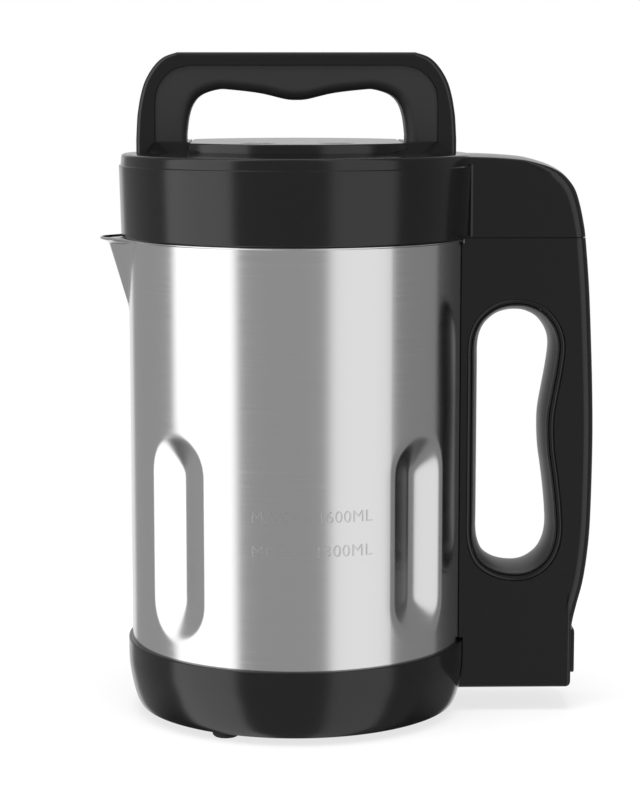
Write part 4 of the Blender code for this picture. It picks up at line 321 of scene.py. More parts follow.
def new_material(name, code, roughness, metallic=0.0, **sockets):
    """A Principled material with its constants on the shader's own sockets."""
    material = bpy.data.materials.new(name)
    material.use_nodes = True
    shader = material.node_tree.nodes["Principled BSDF"]
    shader.inputs["Base Color"].default_value = linear(code)
    shader.inputs["Roughness"].default_value = roughness
    shader.inputs["Metallic"].default_value = metallic
    for key, value in sockets.items():
        shader.inputs[key.replace("_", " ")].default_value = value
    return material, material.node_tree, shader


def dress(piece, material):
    """Give a piece one material and no other."""
    piece.data.materials.clear()
    piece.data.materials.append(material)
    return piece


def vary(tree, shader, noise, low, high):
    """Let a noise move the roughness between two values."""
    rough = add_node(tree, "MapRange", {"To Min": low, "To Max": high}, {"Value": noise})
    tree.links.new(rough.outputs[0], shader.inputs["Roughness"])


def dent(tree, shader, height, strength, depth):
    """Let a height from a node move the skin."""
    bump = add_node(tree, "Bump", {"Strength": strength, "Distance": depth}, {"Height": height})
    tree.links.new(bump.outputs["Normal"], shader.inputs["Normal"])


print("material helpers ready")

# %% [markdown]
# ### Brushed stainless steel
# The jug is type 304 stainless sheet, drawn and then brushed round its axis with an
# abrasive belt. The belt leaves fine level scratches, which stretch a highlight up and
# down and leave it sharp from side to side. Real scratches are about 0.05 mm, too fine
# to show here, so they are drawn 0.28 mm tall. The sheet edges of the motor's laminated
# iron are level lines too, so the same function draws them, darker and coarser.


# %% Brushed steel
def brushed_steel(name, code, scratch, roughness, depth):
    """Steel with level scratches of so many millimetres: noise that is short in Z only."""
    material, tree, shader = new_material(name, code, roughness, 1.0, Anisotropic=0.5)
    place = add_node(tree, "TexCoord").outputs["Object"]
    layers = []
    for length, height in ((90 * MM, scratch * MM), (25 * MM, scratch * MM * 2)):
        scale = (1 / length, 1 / length, 1 / height)
        stretch = add_node(tree, "Mapping", {"Scale": scale}, {"Vector": place})
        fine = {"Scale": 1.0, "Detail": 4.0, "Roughness": 0.6}
        layers.append(add_node(tree, "TexNoise", fine, {"Vector": stretch}))
    layers = {0: layers[1], 2: layers[0]}
    both = add_node(tree, "Math", {1: 0.35}, layers, operation="MULTIPLY_ADD")
    tone = add_node(tree, "MapRange", {"From Min": 0.45, "From Max": 0.9}, {"Value": both})
    shade = add_node(tree, "Mix", links={"Factor": tone}, data_type="RGBA")
    for key, factor in (("A", 0.98), ("B", 1.02)):
        shade.inputs[key].default_value = [min(1, c * factor) for c in linear(code)[:3]] + [1]
    tree.links.new(shade.outputs["Result"], shader.inputs["Base Color"])
    vary(tree, shader, tone, roughness * 0.82, roughness * 1.18)
    dent(tree, shader, both, 0.25, depth * MM)
    grain = add_node(tree, "Tangent", direction_type="RADIAL", axis="Z")
    tree.links.new(grain.outputs["Tangent"], shader.inputs["Tangent"])
    return material


FINISH = {
    key: brushed_steel(name, *look)
    for key, name, *look in (
        ("brushed_steel", "brushed_stainless_steel", "#E0E0E0", 0.28, 0.16, 0.007),
        ("polished_steel", "polished_stainless_steel", "#DADADA", 0.3, 0.13, 0.004),
        ("embossed", "embossed_stainless_steel", "#D6D6D6", 0.28, 0.3, 0.01),
        ("iron_laminate", "laminated_iron", "#8A8A8C", 0.5, 0.42, 0.06),
    )
}
print(len(FINISH), "rolled finishes")

# %% [markdown]
# ### Moulded black ABS
# The head, the handle and the base are injection-moulded ABS, polished in the mould:
# near black, glossy, with the faint waves that a moulding always keeps. The grip, the
# liner and the inner parts come from a spark-eroded mould, which leaves a fine grain
# and a satin sheen. The grain is 0.3 mm on the real ones and 0.6 mm here, to show.
# Rubber, ink, pressed carbon and the lacquered board differ only in these numbers.


# %% Black plastics
GLOSS_SPREAD = 0.03


def moulded(name, code, roughness, grain, depth):
    """A moulded plastic with a grain in millimetres and a little change in its gloss."""
    material, tree, shader = new_material(name, code, roughness, 0.0, IOR=1.53)
    place = add_node(tree, "TexCoord").outputs["Object"]
    noise = add_node(tree, "TexNoise", {"Scale": 1 / (grain * MM), "Detail": 3.0}, {"Vector": place})
    vary(tree, shader, noise, roughness - GLOSS_SPREAD, roughness + GLOSS_SPREAD)
    dent(tree, shader, noise, 0.3, depth * MM)
    return material


for key, name, *look in (
    ("gloss_black", "polished_black_abs", "#0E0E0F", 0.17, 9, 0.03),
    ("satin_black", "grained_black_abs", "#151516", 0.36, 0.6, 0.03),
    ("grey_plastic", "grained_grey_nylon", "#77787A", 0.42, 0.7, 0.03),
    ("soft_touch", "soft_touch_black_lacquer", "#2D2D2E", 0.5, 0.5, 0.02),
    ("ink", "printed_pale_grey_ink", "#C6C7C9", 0.5, 0.4, 0.005),
    ("rubber_black", "black_nitrile_rubber", "#1A1A1A", 0.75, 0.8, 0.05),
    ("silicone_grey", "grey_silicone_rubber", "#B4B4B0", 0.55, 0.8, 0.03),
    ("lead_insulation", "white_lead_insulation", "#DAD9D4", 0.5, 1.5, 0.02),
    ("carbon", "pressed_carbon", "#2C2C2D", 0.6, 0.4, 0.03),
    ("circuit_green", "lacquered_circuit_board", "#1F5A38", 0.35, 2, 0.02),
):
    FINISH[key] = moulded(name, *look)
print(len(FINISH), "finishes with the plastics")

# %% [markdown]
# ### Metals inside
# These show only when the head is off or the case is open, but each still gets the look
# of its real material: brass and copper with a slight tarnish, and cast aluminium with
# its sandy skin.


# %% Inner finishes
def tarnished(name, code, dark_code, roughness, patch):
    """A bare metal whose colour drifts between clean and tarnished."""
    material, tree, shader = new_material(name, code, roughness, 1.0)
    place = add_node(tree, "TexCoord").outputs["Object"]
    noise = add_node(tree, "TexNoise", {"Scale": 1 / patch, "Detail": 5.0}, {"Vector": place})
    tint = add_node(tree, "Mix", links={"Factor": noise}, data_type="RGBA")
    tint.inputs["A"].default_value = linear(code)
    tint.inputs["B"].default_value = linear(dark_code)
    tree.links.new(tint.outputs["Result"], shader.inputs["Base Color"])
    vary(tree, shader, noise, roughness - 0.05, roughness + 0.08)
    return material


for key, name, *look in (
    ("cast_aluminium", "cast_aluminium", "#C6C7C9", "#A9AAAD", 0.42, 1.2 * MM),
    ("brass", "turned_brass", "#D9B86A", "#B08D45", 0.25, 4 * MM),
    ("copper", "enamelled_copper", "#C8754F", "#9C5234", 0.3, 2 * MM),
):
    FINISH[key] = tarnished(name, *look)
slots = {part["node"]: part["material_slot"] for part in frame["record"]["subparts"]}
for node, piece in frame["nodes"].items():
    dress(piece, FINISH[slots[node]])
print(len(slots), "CAD nodes dressed")


def finish_piece(piece, body, nodes, slot, look=None):
    """Let a piece ride with its body, stand for its nodes and take its finish."""
    dress(piece, FINISH[look or slot])
    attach(piece, body)
    if nodes:
        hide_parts(*nodes)
    size = [round(v / MM, 1) for v in piece.dimensions]
    print(piece.name, "is", size, "mm with", len(piece.data.polygons), "faces")
    return piece


# %% [markdown]
# ## The steel jug
# The real jug is drawn from one sheet. Four upright grooves are pressed into its wall,
# where they break up the swirl of the soup, and the spout is pressed out of its rim.
# Cutting those forms with other solids would leave hard corners. So the wall is spun
# with many columns there, and a Displace modifier moves each point along its radius.

# %% Jug sizes
GROOVE_ANGLES = (45, 135, 225, 315)
GROOVE_HALF = 16.4 * MM
GROOVE_LOW_Z = 44.3 * MM
GROOVE_HIGH_Z = 139.4 * MM
GROOVE_EASE = 5 * MM
GROOVE_DEPTH = 7.1 * MM
VALLEY_ROUND = 2.2 * MM
FOLD_ROUND = 0.35 * MM
SPOUT_FOOT_Z = 190.5 * MM
SPOUT_HALF = 28 * MM
SPOUT_TIP_R = 15 * MM
SPOUT_REACH = AXIS.x - pot_low.x
SPOUT_LIP = 2.9 * MM
LIP_HEIGHT = 1.8 * MM
SPOUT_FOLD = 1.2 * MM
RIM_ROLL = 0.65 * MM
ROLL_FOOT_Z = RIM_Z - 2 * RIM_ROLL
SHEET = 0.5 * MM
JUG_CORNER = 6 * MM

# %% Spin the jug wall
bands = (
    (FLOOR_Z + JUG_CORNER, 3), (GROOVE_LOW_Z - 2 * MM, 78), (GROOVE_HIGH_Z + 2 * MM, 8),
    (SPOUT_FOOT_Z - MM, 22), (ROLL_FOOT_Z - LIP_HEIGHT, 5), (ROLL_FOOT_Z, 0),
)
wall_rows = []
for (low, steps), (high, _) in zip(bands, bands[1:]):
    wall_rows += [low + (high - low) * (i + 1) / steps for i in range(steps)]
profile = [(0, FLOOR_Z), (30 * MM, FLOOR_Z), (60 * MM, FLOOR_Z)]
profile += arc((JUG_R - JUG_CORNER, FLOOR_Z + JUG_CORNER), JUG_CORNER, -90, 0, 6)
profile += [(JUG_R, z) for z in wall_rows]
groove_sweeps = ((27, 36), (63, 16), (27, 36))
sweeps = ((31.5, 8), *groove_sweeps, (7.5, 3), (48, 54), (7.5, 3), *groove_sweeps, (31.5, 8))
jug = turned("steel_jug", profile, sweeps=sweeps)
print("sweeps add up to", sum(angle for angle, _ in sweeps), "degrees")


# %% [markdown]
# A groove is two flat flanks that meet in a rounded valley, with cone-shaped ends. Its
# distance from the axis, along a ray at a small angle from its middle, is the root of a
# quadratic. A soft minimum of that and the wall's radius gives the folded edge.


# %% Press the grooves and the spout
def groove_radius(angle, z):
    """How far from the axis the groove lies, in the direction and at the height given."""
    flank_x = math.sqrt(JUG_R**2 - GROOVE_HALF**2)
    valley_x = JUG_R - GROOVE_DEPTH
    slope = GROOVE_HALF / (flank_x - valley_x)
    end = (GROOVE_HALF + math.sqrt(GROOVE_HALF**2 + 4 * GROOVE_HALF * GROOVE_EASE)) / 2
    past = max(0, z - GROOVE_HIGH_Z + end, GROOVE_LOW_Z + end - z)
    past *= past / (past + GROOVE_EASE) * (flank_x - valley_x) * slope / GROOVE_HALF
    past *= (JUG_R - valley_x) / (flank_x - valley_x)
    lift = past**2 + VALLEY_ROUND**2
    c, s = math.cos(angle), math.sin(angle) / slope
    under = (valley_x * c) ** 2 - (c * c - s * s) * (valley_x**2 - lift / slope**2)
    return (valley_x * c + math.sqrt(max(0, under))) / (c * c - s * s)


def spout_radius(angle, z):
    """How far from the axis the spout's side lies, or zero outside it."""
    share = (z - SPOUT_FOOT_Z) / (RIM_Z - SPOUT_FOOT_Z)
    if share <= 0:
        return 0
    foot = Vector((JUG_R - STEEL / 2, 0))
    root = Vector((math.sqrt((JUG_R - STEEL) ** 2 - SPOUT_HALF**2), SPOUT_HALF))
    middle = foot + (Vector((SPOUT_REACH - SPOUT_LIP - SPOUT_TIP_R, 0)) - foot) * share
    middle.x += SPOUT_LIP * max(0, 1 - (ROLL_FOOT_Z - z) / LIP_HEIGHT) ** 2
    side = foot + (root - foot) * share
    tip = SPOUT_TIP_R * share
    ray = Vector((math.cos(angle), math.sin(abs(angle))))
    away = side - middle
    bend = away.angle(Vector((1, 0))) - math.acos(min(1, tip / away.length))
    touch = middle + Vector((math.cos(bend), math.sin(bend))) * tip
    if ray.y * touch.x <= ray.x * touch.y:
        along = middle.dot(ray)
        return along + math.sqrt(max(0, along**2 - middle.length_squared + tip**2))
    if ray.y * side.x > ray.x * side.y:
        return 0
    edge = side - touch
    return (touch.x * edge.y - touch.y * edge.x) / (ray.x * edge.y - ray.y * edge.x)


def soft_less(a, b, width):
    """The smaller of two values, with a rounded change from one to the other."""
    gap = (a - b) / width
    return min(a, b) - width * math.log1p(math.exp(-abs(gap)))


def groove_move(turn, z):
    """How far the grooves press the wall inward."""
    for middle in GROOVE_ANGLES:
        off = (turn - math.radians(middle) + math.pi) % math.tau - math.pi
        if abs(off) < math.radians(20) and z < GROOVE_HIGH_Z + 5 * MM:
            return JUG_R - soft_less(groove_radius(off, z), JUG_R, FOLD_ROUND)
    return 0


def spout_move(turn, z):
    """How far the spout is pressed outward."""
    off = turn % math.tau - math.pi
    if abs(off) > math.radians(28) or z < SPOUT_FOOT_Z - 2 * MM:
        return 0
    share = max(0, z - SPOUT_FOOT_Z) / (RIM_Z - SPOUT_FOOT_Z)
    fold = FOLD_ROUND + SPOUT_FOLD * share**2
    return -soft_less(-spout_radius(off, z), -JUG_R, fold) - JUG_R


def press(piece, name, move, travel):
    """Push each point of the wall along its normal by a share of the travel."""
    group = piece.vertex_groups.new(name=name)
    for vertex in piece.data.vertices:
        place = vertex.co - AXIS
        if math.hypot(place.x, place.y) > JUG_R - MM:
            share = move(math.atan2(place.y, place.x), place.z) / abs(travel)
            group.add([vertex.index], max(0, min(1, share)), "REPLACE")
    use_modifier(
        piece, "DISPLACE", strength=travel, mid_level=0, direction="NORMAL", vertex_group=name
    )


press(jug, "grooves", groove_move, -GROOVE_DEPTH)
press(jug, "spout", spout_move, SPOUT_REACH - JUG_R)

# %% [markdown]
# The rim is rolled outward into a bead. Here the open edge is extruded in small steps,
# each a little wider or higher than the last, so that the bead follows the spout.

# %% Roll the rim
take(jug)
switch("EDIT")
bpy.ops.mesh.select_mode(type="EDGE")
bpy.ops.mesh.select_all(action="DESELECT")
bpy.ops.mesh.select_non_manifold()
bead_line = arc((JUG_R, RIM_Z - RIM_ROLL), RIM_ROLL, -70, 90, 6)
for (r0, z0), (r1, z1) in zip([(JUG_R, ROLL_FOOT_Z)] + bead_line, bead_line):
    bpy.ops.mesh.extrude_edges_move()
    bpy.ops.transform.resize(value=(r1 / r0, r1 / r0, 1), center_override=AXIS)
    bpy.ops.transform.translate(value=(0, 0, z1 - z0))
bpy.ops.mesh.select_mode(type="VERT")
switch("OBJECT")

# %% Give the sheet its thickness
use_modifier(jug, "SOLIDIFY", thickness=SHEET, offset=-1, use_even_offset=True)
settle(jug, 40)
finish_piece(jug, "jug_body", ["jug_pot"], "brushed_steel")

# %% [markdown]
# ## The side handle
# Two moulded halves meet in a seam down the middle and clamp the jug's brackets. Both
# come from one solid: the side view with a thickness, whose edges are rounded by 5 mm
# along the back and less toward the heel, where the wall is short. Over the top the edge
# is almost sharp and the surface is crowned, by a Displace modifier. Then the jug, the
# finger hole with its coved rim and the windows are carved out.

# %% Handle sizes
EDGE = 5 * MM
HEEL_EDGE = 1.8 * MM
HEEL_BLEND = 20 * MM
FOOT_REACH = 130.9 * MM
HANDLE_TOP_Z = 265.2 * MM
HEEL_CORNER = 2.5 * MM
INLET_TOP_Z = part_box("power_inlet")[1].z
JOIN_Z = half_high.z
GAP = 0.3 * MM
TOP_EDGE = 0.9 * MM
TOP_EDGE_Z = 262 * MM
FULL_EDGE_Z = 254 * MM
ARM_CROWN = 1.3 * MM
CROWN_FOOT_Z = 236 * MM
CROWN_FULL_Z = 255 * MM
BACK_SHARES = (
    (0.0, 0.9957), (0.211, 0.9941), (0.397, 0.9907), (0.479, 0.9874), (0.561, 0.9821),
    (0.643, 0.9752), (0.723, 0.9645), (0.793, 0.9484), (0.841, 0.9299), (0.883, 0.8987),
    (0.908, 0.871), (0.921, 0.849), (0.944, 0.790), (0.961, 0.733), (0.980, 0.640), (0.993, 0.560),
    (1.0, 0.480), (0.998, 0.390), (0.989, 0.305), (0.969, 0.248), (0.940, 0.200), (0.896, 0.158),
    (0.868, 0.130),
)
depth, height = HANDLE_BACK_X - JUG_R, HANDLE_TOP_Z - HANDLE_FOOT_Z
back_line = [(JUG_R + depth * across, HANDLE_FOOT_Z + height * up) for across, up in BACK_SHARES]
root_x = JUG_R - 9 * MM
heel = arc((FOOT_REACH - HEEL_CORNER, HANDLE_FOOT_Z + HEEL_CORNER), HEEL_CORNER, 0, -90, 5)
handle_line = [(root_x, back_line[0][1])] + smooth_line(back_line + [(FOOT_REACH, INLET_TOP_Z)], 5)
handle_line += heel + [(root_x, HANDLE_FOOT_Z)]
print("handle outline has", len(handle_line), "points")


def share_of(value, low, high):
    """How far a value lies between two others, from 0 to 1."""
    return min(1, max(0, (value - low) / (high - low)))


def handle_solid(name):
    """The whole handle with the part of the head over it, before anything is carved."""
    piece = slab(name, handle_line, -HANDLE_HALF, HANDLE_HALF)
    switch("EDIT")
    for share in (-0.7, -0.5, -0.25, 0, 0.25, 0.5, 0.7):
        bpy.ops.mesh.select_all(action="SELECT")
        bpy.ops.mesh.bisect(plane_co=(0, share * HANDLE_HALF, 0), plane_no=(0, 1, 0))
    switch("OBJECT")
    weights = piece.data.attributes.new("bevel_weight_edge", "FLOAT", "EDGE")
    for edge in piece.data.edges:
        ends = [piece.data.vertices[v].co for v in edge.vertices]
        on_side = all(abs(abs(end.y) - HANDLE_HALF) < WELD for end in ends)
        along = abs(ends[0].y - ends[1].y) > WELD
        inner = max(end.x for end in ends) < AXIS.x + root_x + WELD
        low = min(end.z for end in ends)
        share = share_of(low - HANDLE_FOOT_Z - HEEL_CORNER, 0, HEEL_BLEND)
        size = HEEL_EDGE + (EDGE - HEEL_EDGE) * share
        size += (TOP_EDGE - EDGE) * share_of(low, FULL_EDGE_Z, TOP_EDGE_Z)
        weights.data[edge.index].value = size / EDGE if on_side and not along and not inner else 0
    use_modifier(
        piece, "BEVEL", width=EDGE, segments=8, limit_method="WEIGHT", use_clamp_overlap=False
    )
    group = piece.vertex_groups.new(name="crown")
    for vertex in piece.data.vertices:
        place = vertex.co
        share = share_of(place.z, CROWN_FOOT_Z, CROWN_FULL_Z)
        share *= max(0, 1 - (place.y / HANDLE_HALF) ** 2)
        if place.x > AXIS.x + root_x + WELD:
            group.add([vertex.index], share, "REPLACE")
    return use_modifier(
        piece, "DISPLACE", strength=ARM_CROWN, mid_level=0, direction="NORMAL", vertex_group="crown"
    )


# %% [markdown]
# The finger hole is 38 mm wide and 126 mm high, with soft corners, and swells where the
# knuckles bear on it. The same line, grown by the liner's wall, cuts the handle.

# %% Finger hole
HOLE_SHARES = (
    (0, 0.15), (0, 0.21), (0, 0.32), (0, 0.5), (0, 0.68), (0, 0.79), (0, 0.85), (0.025, 0.9),
    (0.1, 0.945), (0.238, 0.981), (0.383, 0.997), (0.513, 1), (0.643, 0.995), (0.8, 0.972),
    (0.91, 0.935), (0.975, 0.893), (0.995, 0.845), (0.965, 0.767), (0.919, 0.687), (0.875, 0.606),
    (0.867, 0.541), (0.881, 0.46), (0.919, 0.38), (0.954, 0.299), (0.98, 0.215), (0.985, 0.15),
    (0.945, 0.09), (0.846, 0.04), (0.672, 0.006), (0.47, 0), (0.267, 0.014), (0.105, 0.048),
    (0.025, 0.1),
)
LINER_WALL = 1.8 * MM
LIP = 2.1 * MM
RIM_DEPTH = 2.5 * MM
RIM_COVE = 1.6 * MM
liner_low, liner_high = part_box("finger_liner")
hole_x = liner_low.x - AXIS.x + LINER_WALL
hole_width = liner_high.x - liner_low.x - 2 * LINER_WALL
hole_z = liner_low.z + LINER_WALL
hole_height = liner_high.z - liner_low.z - 2 * LINER_WALL
hole_points = [(hole_x + hole_width * across, hole_z + hole_height * up) for across, up in HOLE_SHARES]
hole_line = smooth_line(hole_points, 4, closed=True)
print("finger hole", round(hole_width / MM, 1), "by", round(hole_height / MM, 1), "mm")


# %% Carve the handle
BASE_SHARES = ((0.0, 0.0), (0.0, 0.3), (0.09, 0.48), (0.36, 0.72), (0.68, 0.9), (1.0, 1.0))
BASE_TAPER = 5.3 * MM
PLUG_X = (88 * MM, 120 * MM)
PLUG_HALF = 10 * MM
INLET_HALF = Vector((13 * MM, 9 * MM))
SCREW_PLACES = ((90 * MM, 50 * MM), (90 * MM, 204 * MM), (128.2 * MM, 216 * MM))
SCREW_HOLE_R = 3.2 * MM
SCREW_SINK = 5.5 * MM


def plug_room(name, low, high, margin=0):
    """The room that the plug between the head and the handle takes up."""
    far = Vector((PLUG_X[1] + margin + GAP, PLUG_HALF + margin + GAP, high))
    return block(name, (PLUG_X[0] - margin - GAP, -PLUG_HALF - margin - GAP, low), far)


def jug_room(name):
    """The jug and its base casing, grown by the gap that the handle keeps to them."""
    profile = [(0, RIM_Z + 5 * MM), (JUG_R + BEAD + GAP, RIM_Z + 5 * MM)]
    profile += [(JUG_R + BEAD + GAP, RIM_Z - 2.3 * MM), (JUG_R + GAP, RIM_Z - 3.5 * MM)]
    profile += [(JUG_R + GAP, ring_high.z + GAP), (ring_high.y + GAP, ring_high.z + GAP)]
    profile += [(across + GAP, up) for across, up in base_line[1:]]
    profile += [(base_line[-1][0] + GAP, 0), (0, 0)]
    return turned(name, profile, 144)


base_height = ring_high.z - ring_low.z
base_points = [(ring_high.y - BASE_TAPER * a, ring_high.z - base_height * b) for a, b in BASE_SHARES]
base_line = smooth_line(base_points, 5)
socket_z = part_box("jug_connector")[0].z
inlet_low, inlet_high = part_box("power_inlet")
handle = handle_solid("side_handle")
carve(handle, jug_room("jug_room"))
carve(handle, slab("hole", grow(hole_line, LINER_WALL + GAP), -2 * HANDLE_HALF, 2 * HANDLE_HALF))
rim_line = grow(hole_line, LINER_WALL + GAP + LIP)
for side in (-1, 1):
    low, high = sorted((side * (HANDLE_HALF - RIM_DEPTH), side * (HANDLE_HALF + 10 * MM)))
    carve(handle, slab("rim", rim_line, low, high, edge=RIM_COVE))
carve(handle, plug_room("socket_room", socket_z - MM, JOIN_Z + MM))
inlet_z = (inlet_low.z + inlet_high.z) / 2
low = (inlet_low.x - AXIS.x, -INLET_HALF.x - GAP, inlet_z - INLET_HALF.y - GAP)
high = (HANDLE_BACK_X, INLET_HALF.x + GAP, inlet_z + INLET_HALF.y + GAP)
carve(handle, block("inlet_room", low, high))
for x, z in SCREW_PLACES:
    drill(handle, AXIS + Vector((x, HANDLE_HALF, z)), SCREW_HOLE_R, 2 * SCREW_SINK, turn=math.pi / 2)
print("handle carved:", len(handle.data.polygons), "faces")

# %% Split the handle at its seam
TONGUE_HALF = 15 * MM
TONGUE_LOW_X = 83 * MM
TONGUE_HIGH_X = 134.2 * MM
wide = 2 * HANDLE_HALF
for side, tag in ((-1, "front"), (1, "rear")):
    half = handle.copy()
    half.data = handle.data.copy()
    half.name = f"handle_shell_{tag}"
    bpy.context.scene.collection.objects.link(half)
    low_y, high_y = sorted((side * GAP / 2, side * wide))
    room = block("keep", (root_x - MM, low_y, 0), (HANDLE_BACK_X + MM, high_y, JOIN_Z))
    carve(half, room, "INTERSECT")
    round_edges(half, 0.3 * MM, 2)
    low = (TONGUE_LOW_X, max(low_y, -TONGUE_HALF), JOIN_Z - MM)
    tongue = block("tongue", low, (TONGUE_HIGH_X, min(high_y, TONGUE_HALF), SEAM_Z - WELD))
    carve(tongue, plug_room("socket_room", JOIN_Z - 2 * MM, SEAM_Z + MM))
    carve(half, tongue, "UNION")
    keep_flat(half)
    finish_piece(half, "jug_body", [f"handle_{tag}_half"], "gloss_black")
bpy.data.objects.remove(handle)

# %% [markdown]
# The liner is a separate satin moulding pressed into the hole. Its wall flares toward
# both sides and ends in a rounded rim, which draws a thin light line round the opening.
# It is swept: the hole's line is a curve, and the wall's section is its bevel object.

# %% Finger liner
WAIST = 1.9 * MM
FLARE = 3 * MM
RIM_ROUND = 0.55 * MM
WALL_STEPS = (0, 3, 6, 9, 11.5, 14, 15.8)
half_wall = [(FLARE * (y * MM / liner_high.y) ** 2 - WAIST, y * MM) for y in WALL_STEPS]
half_wall += arc((1.35 * MM, liner_high.y - RIM_ROUND), RIM_ROUND, 165, 40, 6)
half_wall += [(2 * MM, liner_high.y - 1.1 * MM), (LINER_WALL, 14 * MM), (LINER_WALL, 0)]
section = [(-across, up) for across, up in half_wall]
section += [(-across, -up) for across, up in reversed(half_wall[1:-1])]
liner = flat_curve("finger_hole_liner", hole_line)
wall_section = flat_curve("wall_section", section)
liner.data.bevel_mode = "OBJECT"
liner.data.bevel_object = wall_section
liner.data.fill_mode = "NONE"
liner.location = AXIS
liner.rotation_euler = (math.pi / 2, 0, 0)
liner = into_mesh(liner)
bpy.data.objects.remove(wall_section)
settle(liner, 50)
finish_piece(liner, "jug_body", ["finger_liner"], "satin_black")

# %% [markdown]
# ## The base casing
# A black skirt closes the foot of the jug and hides the heater. Its side leans in
# toward the table, and its top edge is a thin rounded lip against the steel.

# %% Base casing
TOP_LIP = 0.7 * MM
plate_r = 70 * MM
inner_line = [(across - 2.4 * MM, up) for across, up in reversed(base_line[6:])]
base_top_z = ring_high.z - MM
profile = [(JUG_R + WELD, base_top_z)]
profile += arc((ring_high.y - TOP_LIP, base_top_z - TOP_LIP), TOP_LIP, 90, 0, 5)
profile += base_line[1:-1]
profile += arc((base_line[-1][0] - MM, ring_low.z + MM), MM, -20, -90, 4)
profile += [(plate_r - 3.5 * MM, ring_low.z), (plate_r - 3.5 * MM, ring_low.z + 2.4 * MM)]
profile += inner_line[1:] + [(JUG_R + WELD, ring_high.z - 8 * MM), (JUG_R + WELD, base_top_z)]
base = turned("base_casing", profile, 144)
finish_piece(base, "jug_body", ["base_ring"], "gloss_black")

# %% [markdown]
# ## The power inlet
# A satin block with a rounded bezel on the heel of the handle. The plug's three pins
# stand inside it.

# %% Power inlet
BEZEL_HALF = Vector((inlet_high.y, inlet_high.z - inlet_z))
BEZEL_DEPTH = 1.7 * MM
INLET_WALL = 1.8 * MM
PIN_SHELF = 3 * MM


def inlet_block(name, low_x, high_x, half, corner):
    """A box about the middle of the inlet, whose four edges along X are rounded."""
    far = (high_x, half.x, inlet_z + half.y)
    piece = block(name, (low_x, -half.x, inlet_z - half.y), far)
    switch("EDIT")
    bpy.ops.mesh.select_mode(type="EDGE")
    bpy.ops.mesh.select_all(action="DESELECT")
    switch("OBJECT")
    for edge in piece.data.edges:
        ends = [piece.data.vertices[v].co for v in edge.vertices]
        edge.select = abs(ends[0].x - ends[1].x) > WELD
    switch("EDIT")
    bpy.ops.mesh.bevel(offset=corner, segments=6)
    bpy.ops.mesh.select_mode(type="VERT")
    switch("OBJECT")
    return piece


back_x = inlet_low.x - AXIS.x
face_x = inlet_high.x - AXIS.x
inlet = inlet_block("inlet_block", back_x, face_x - BEZEL_DEPTH / 2, INLET_HALF, 0.3 * MM)
bezel = inlet_block("bezel", face_x - BEZEL_DEPTH, face_x, BEZEL_HALF, 2.2 * MM)
carve(inlet, bezel, "UNION")
opening_half = INLET_HALF - Vector((INLET_WALL, INLET_WALL))
opening = inlet_block("opening", back_x + PIN_SHELF, face_x + MM, opening_half, 1.5 * MM)
carve(inlet, opening)
round_edges(inlet, 0.35 * MM)
keep_flat(inlet, 35)
finish_piece(inlet, "jug_body", ["power_inlet"], "satin_black")

# %% [markdown]
# ## The head
# The head is one black moulding: a round cover with a chamfer round its top, and an arm
# that reaches over the handle and carries the plug. The arm is the handle's own solid
# above the seam, so that the two lines meet. A small rounding along the lower edge
# catches the light beside the seam.

# %% Head cover
LEDGE_Z = 260.1 * MM
LEDGE_WIDTH = 0.85 * MM
BAND_TOP_R = 82.1 * MM
SHOULDER_Z = 265.2 * MM
CROWN = ((72 * MM, 266 * MM), (64 * MM, HEAD_TOP_Z))
HEAD_R = shell_high.y - 0.1 * MM
HEAD_LOW_R = shell_high.y - 1.0 * MM
DECK_Z = SEAM_Z


def rounded_corner(before, corner, after, radius, steps=5):
    """Points that round a corner of a profile."""
    corner = Vector(corner)
    back = (Vector(before) - corner).normalized()
    ahead = (Vector(after) - corner).normalized()
    half = back.angle(ahead) / 2
    reach = radius / math.tan(half)
    middle = corner + (back + ahead).normalized() * radius / math.sin(half)
    start = (corner + back * reach - middle).normalized()
    end = (corner + ahead * reach - middle).normalized()
    return [tuple(middle + start.slerp(end, step / steps) * radius) for step in range(steps + 1)]


def rounded_line(points, rounds):
    """A profile whose inner corners are rounded, each by its own radius and steps."""
    line = []
    for before, corner, after, (radius, steps) in zip(points, points[1:], points[2:], rounds):
        line += rounded_corner(before, corner, after, radius, steps)
    return line


cover_points = [CROWN[0], (BAND_TOP_R, SHOULDER_Z), (HEAD_R - LEDGE_WIDTH, LEDGE_Z)]
cover_points += [(HEAD_R, LEDGE_Z - 0.15 * MM), (HEAD_LOW_R, SEAM_Z), (0, SEAM_Z)]
cover_rounds = ((1.5 * MM, 7), (0.25 * MM, 3), (0.4 * MM, 5), (0.5 * MM, 4))
profile = [(0, HEAD_TOP_Z), (40 * MM, HEAD_TOP_Z), CROWN[1], CROWN[0]]
profile += rounded_line(cover_points, cover_rounds) + [(0, SEAM_Z)]
cover = turned("head_cover", profile, 160)
arm = handle_solid("arm")
low, high = (root_x - MM, -wide, SEAM_Z), (HANDLE_BACK_X + MM, wide, HANDLE_TOP_Z + MM)
carve(arm, block("keep", low, high), "INTERSECT")
round_edges(arm, 0.4 * MM)
carve(cover, arm, "UNION")
FILLET = 2 * MM
FILLET_TOP_Z = LEDGE_Z + 0.5 * MM
LID_R = (HEAD_R + HEAD_LOW_R) / 2
fillet_y = HANDLE_HALF + FILLET
fillet_x = math.sqrt((LID_R + FILLET) ** 2 - fillet_y**2)
end_turn = math.degrees(math.atan2(-fillet_y, -fillet_x))
corner_line = arc((fillet_x, fillet_y), FILLET, -90, end_turn, 8)
corner_line += [(fillet_x - 6 * MM, fillet_y - 2 * MM), (fillet_x - 6 * MM, HANDLE_HALF - 2 * MM)]
corner_line += [(fillet_x, HANDLE_HALF - 2 * MM)]
for side in (-1, 1):
    line = [(across, side * up) for across, up in corner_line]
    carve(cover, slab("fillet", line, SEAM_Z + 0.6 * MM, FILLET_TOP_Z, "Z"), "UNION")
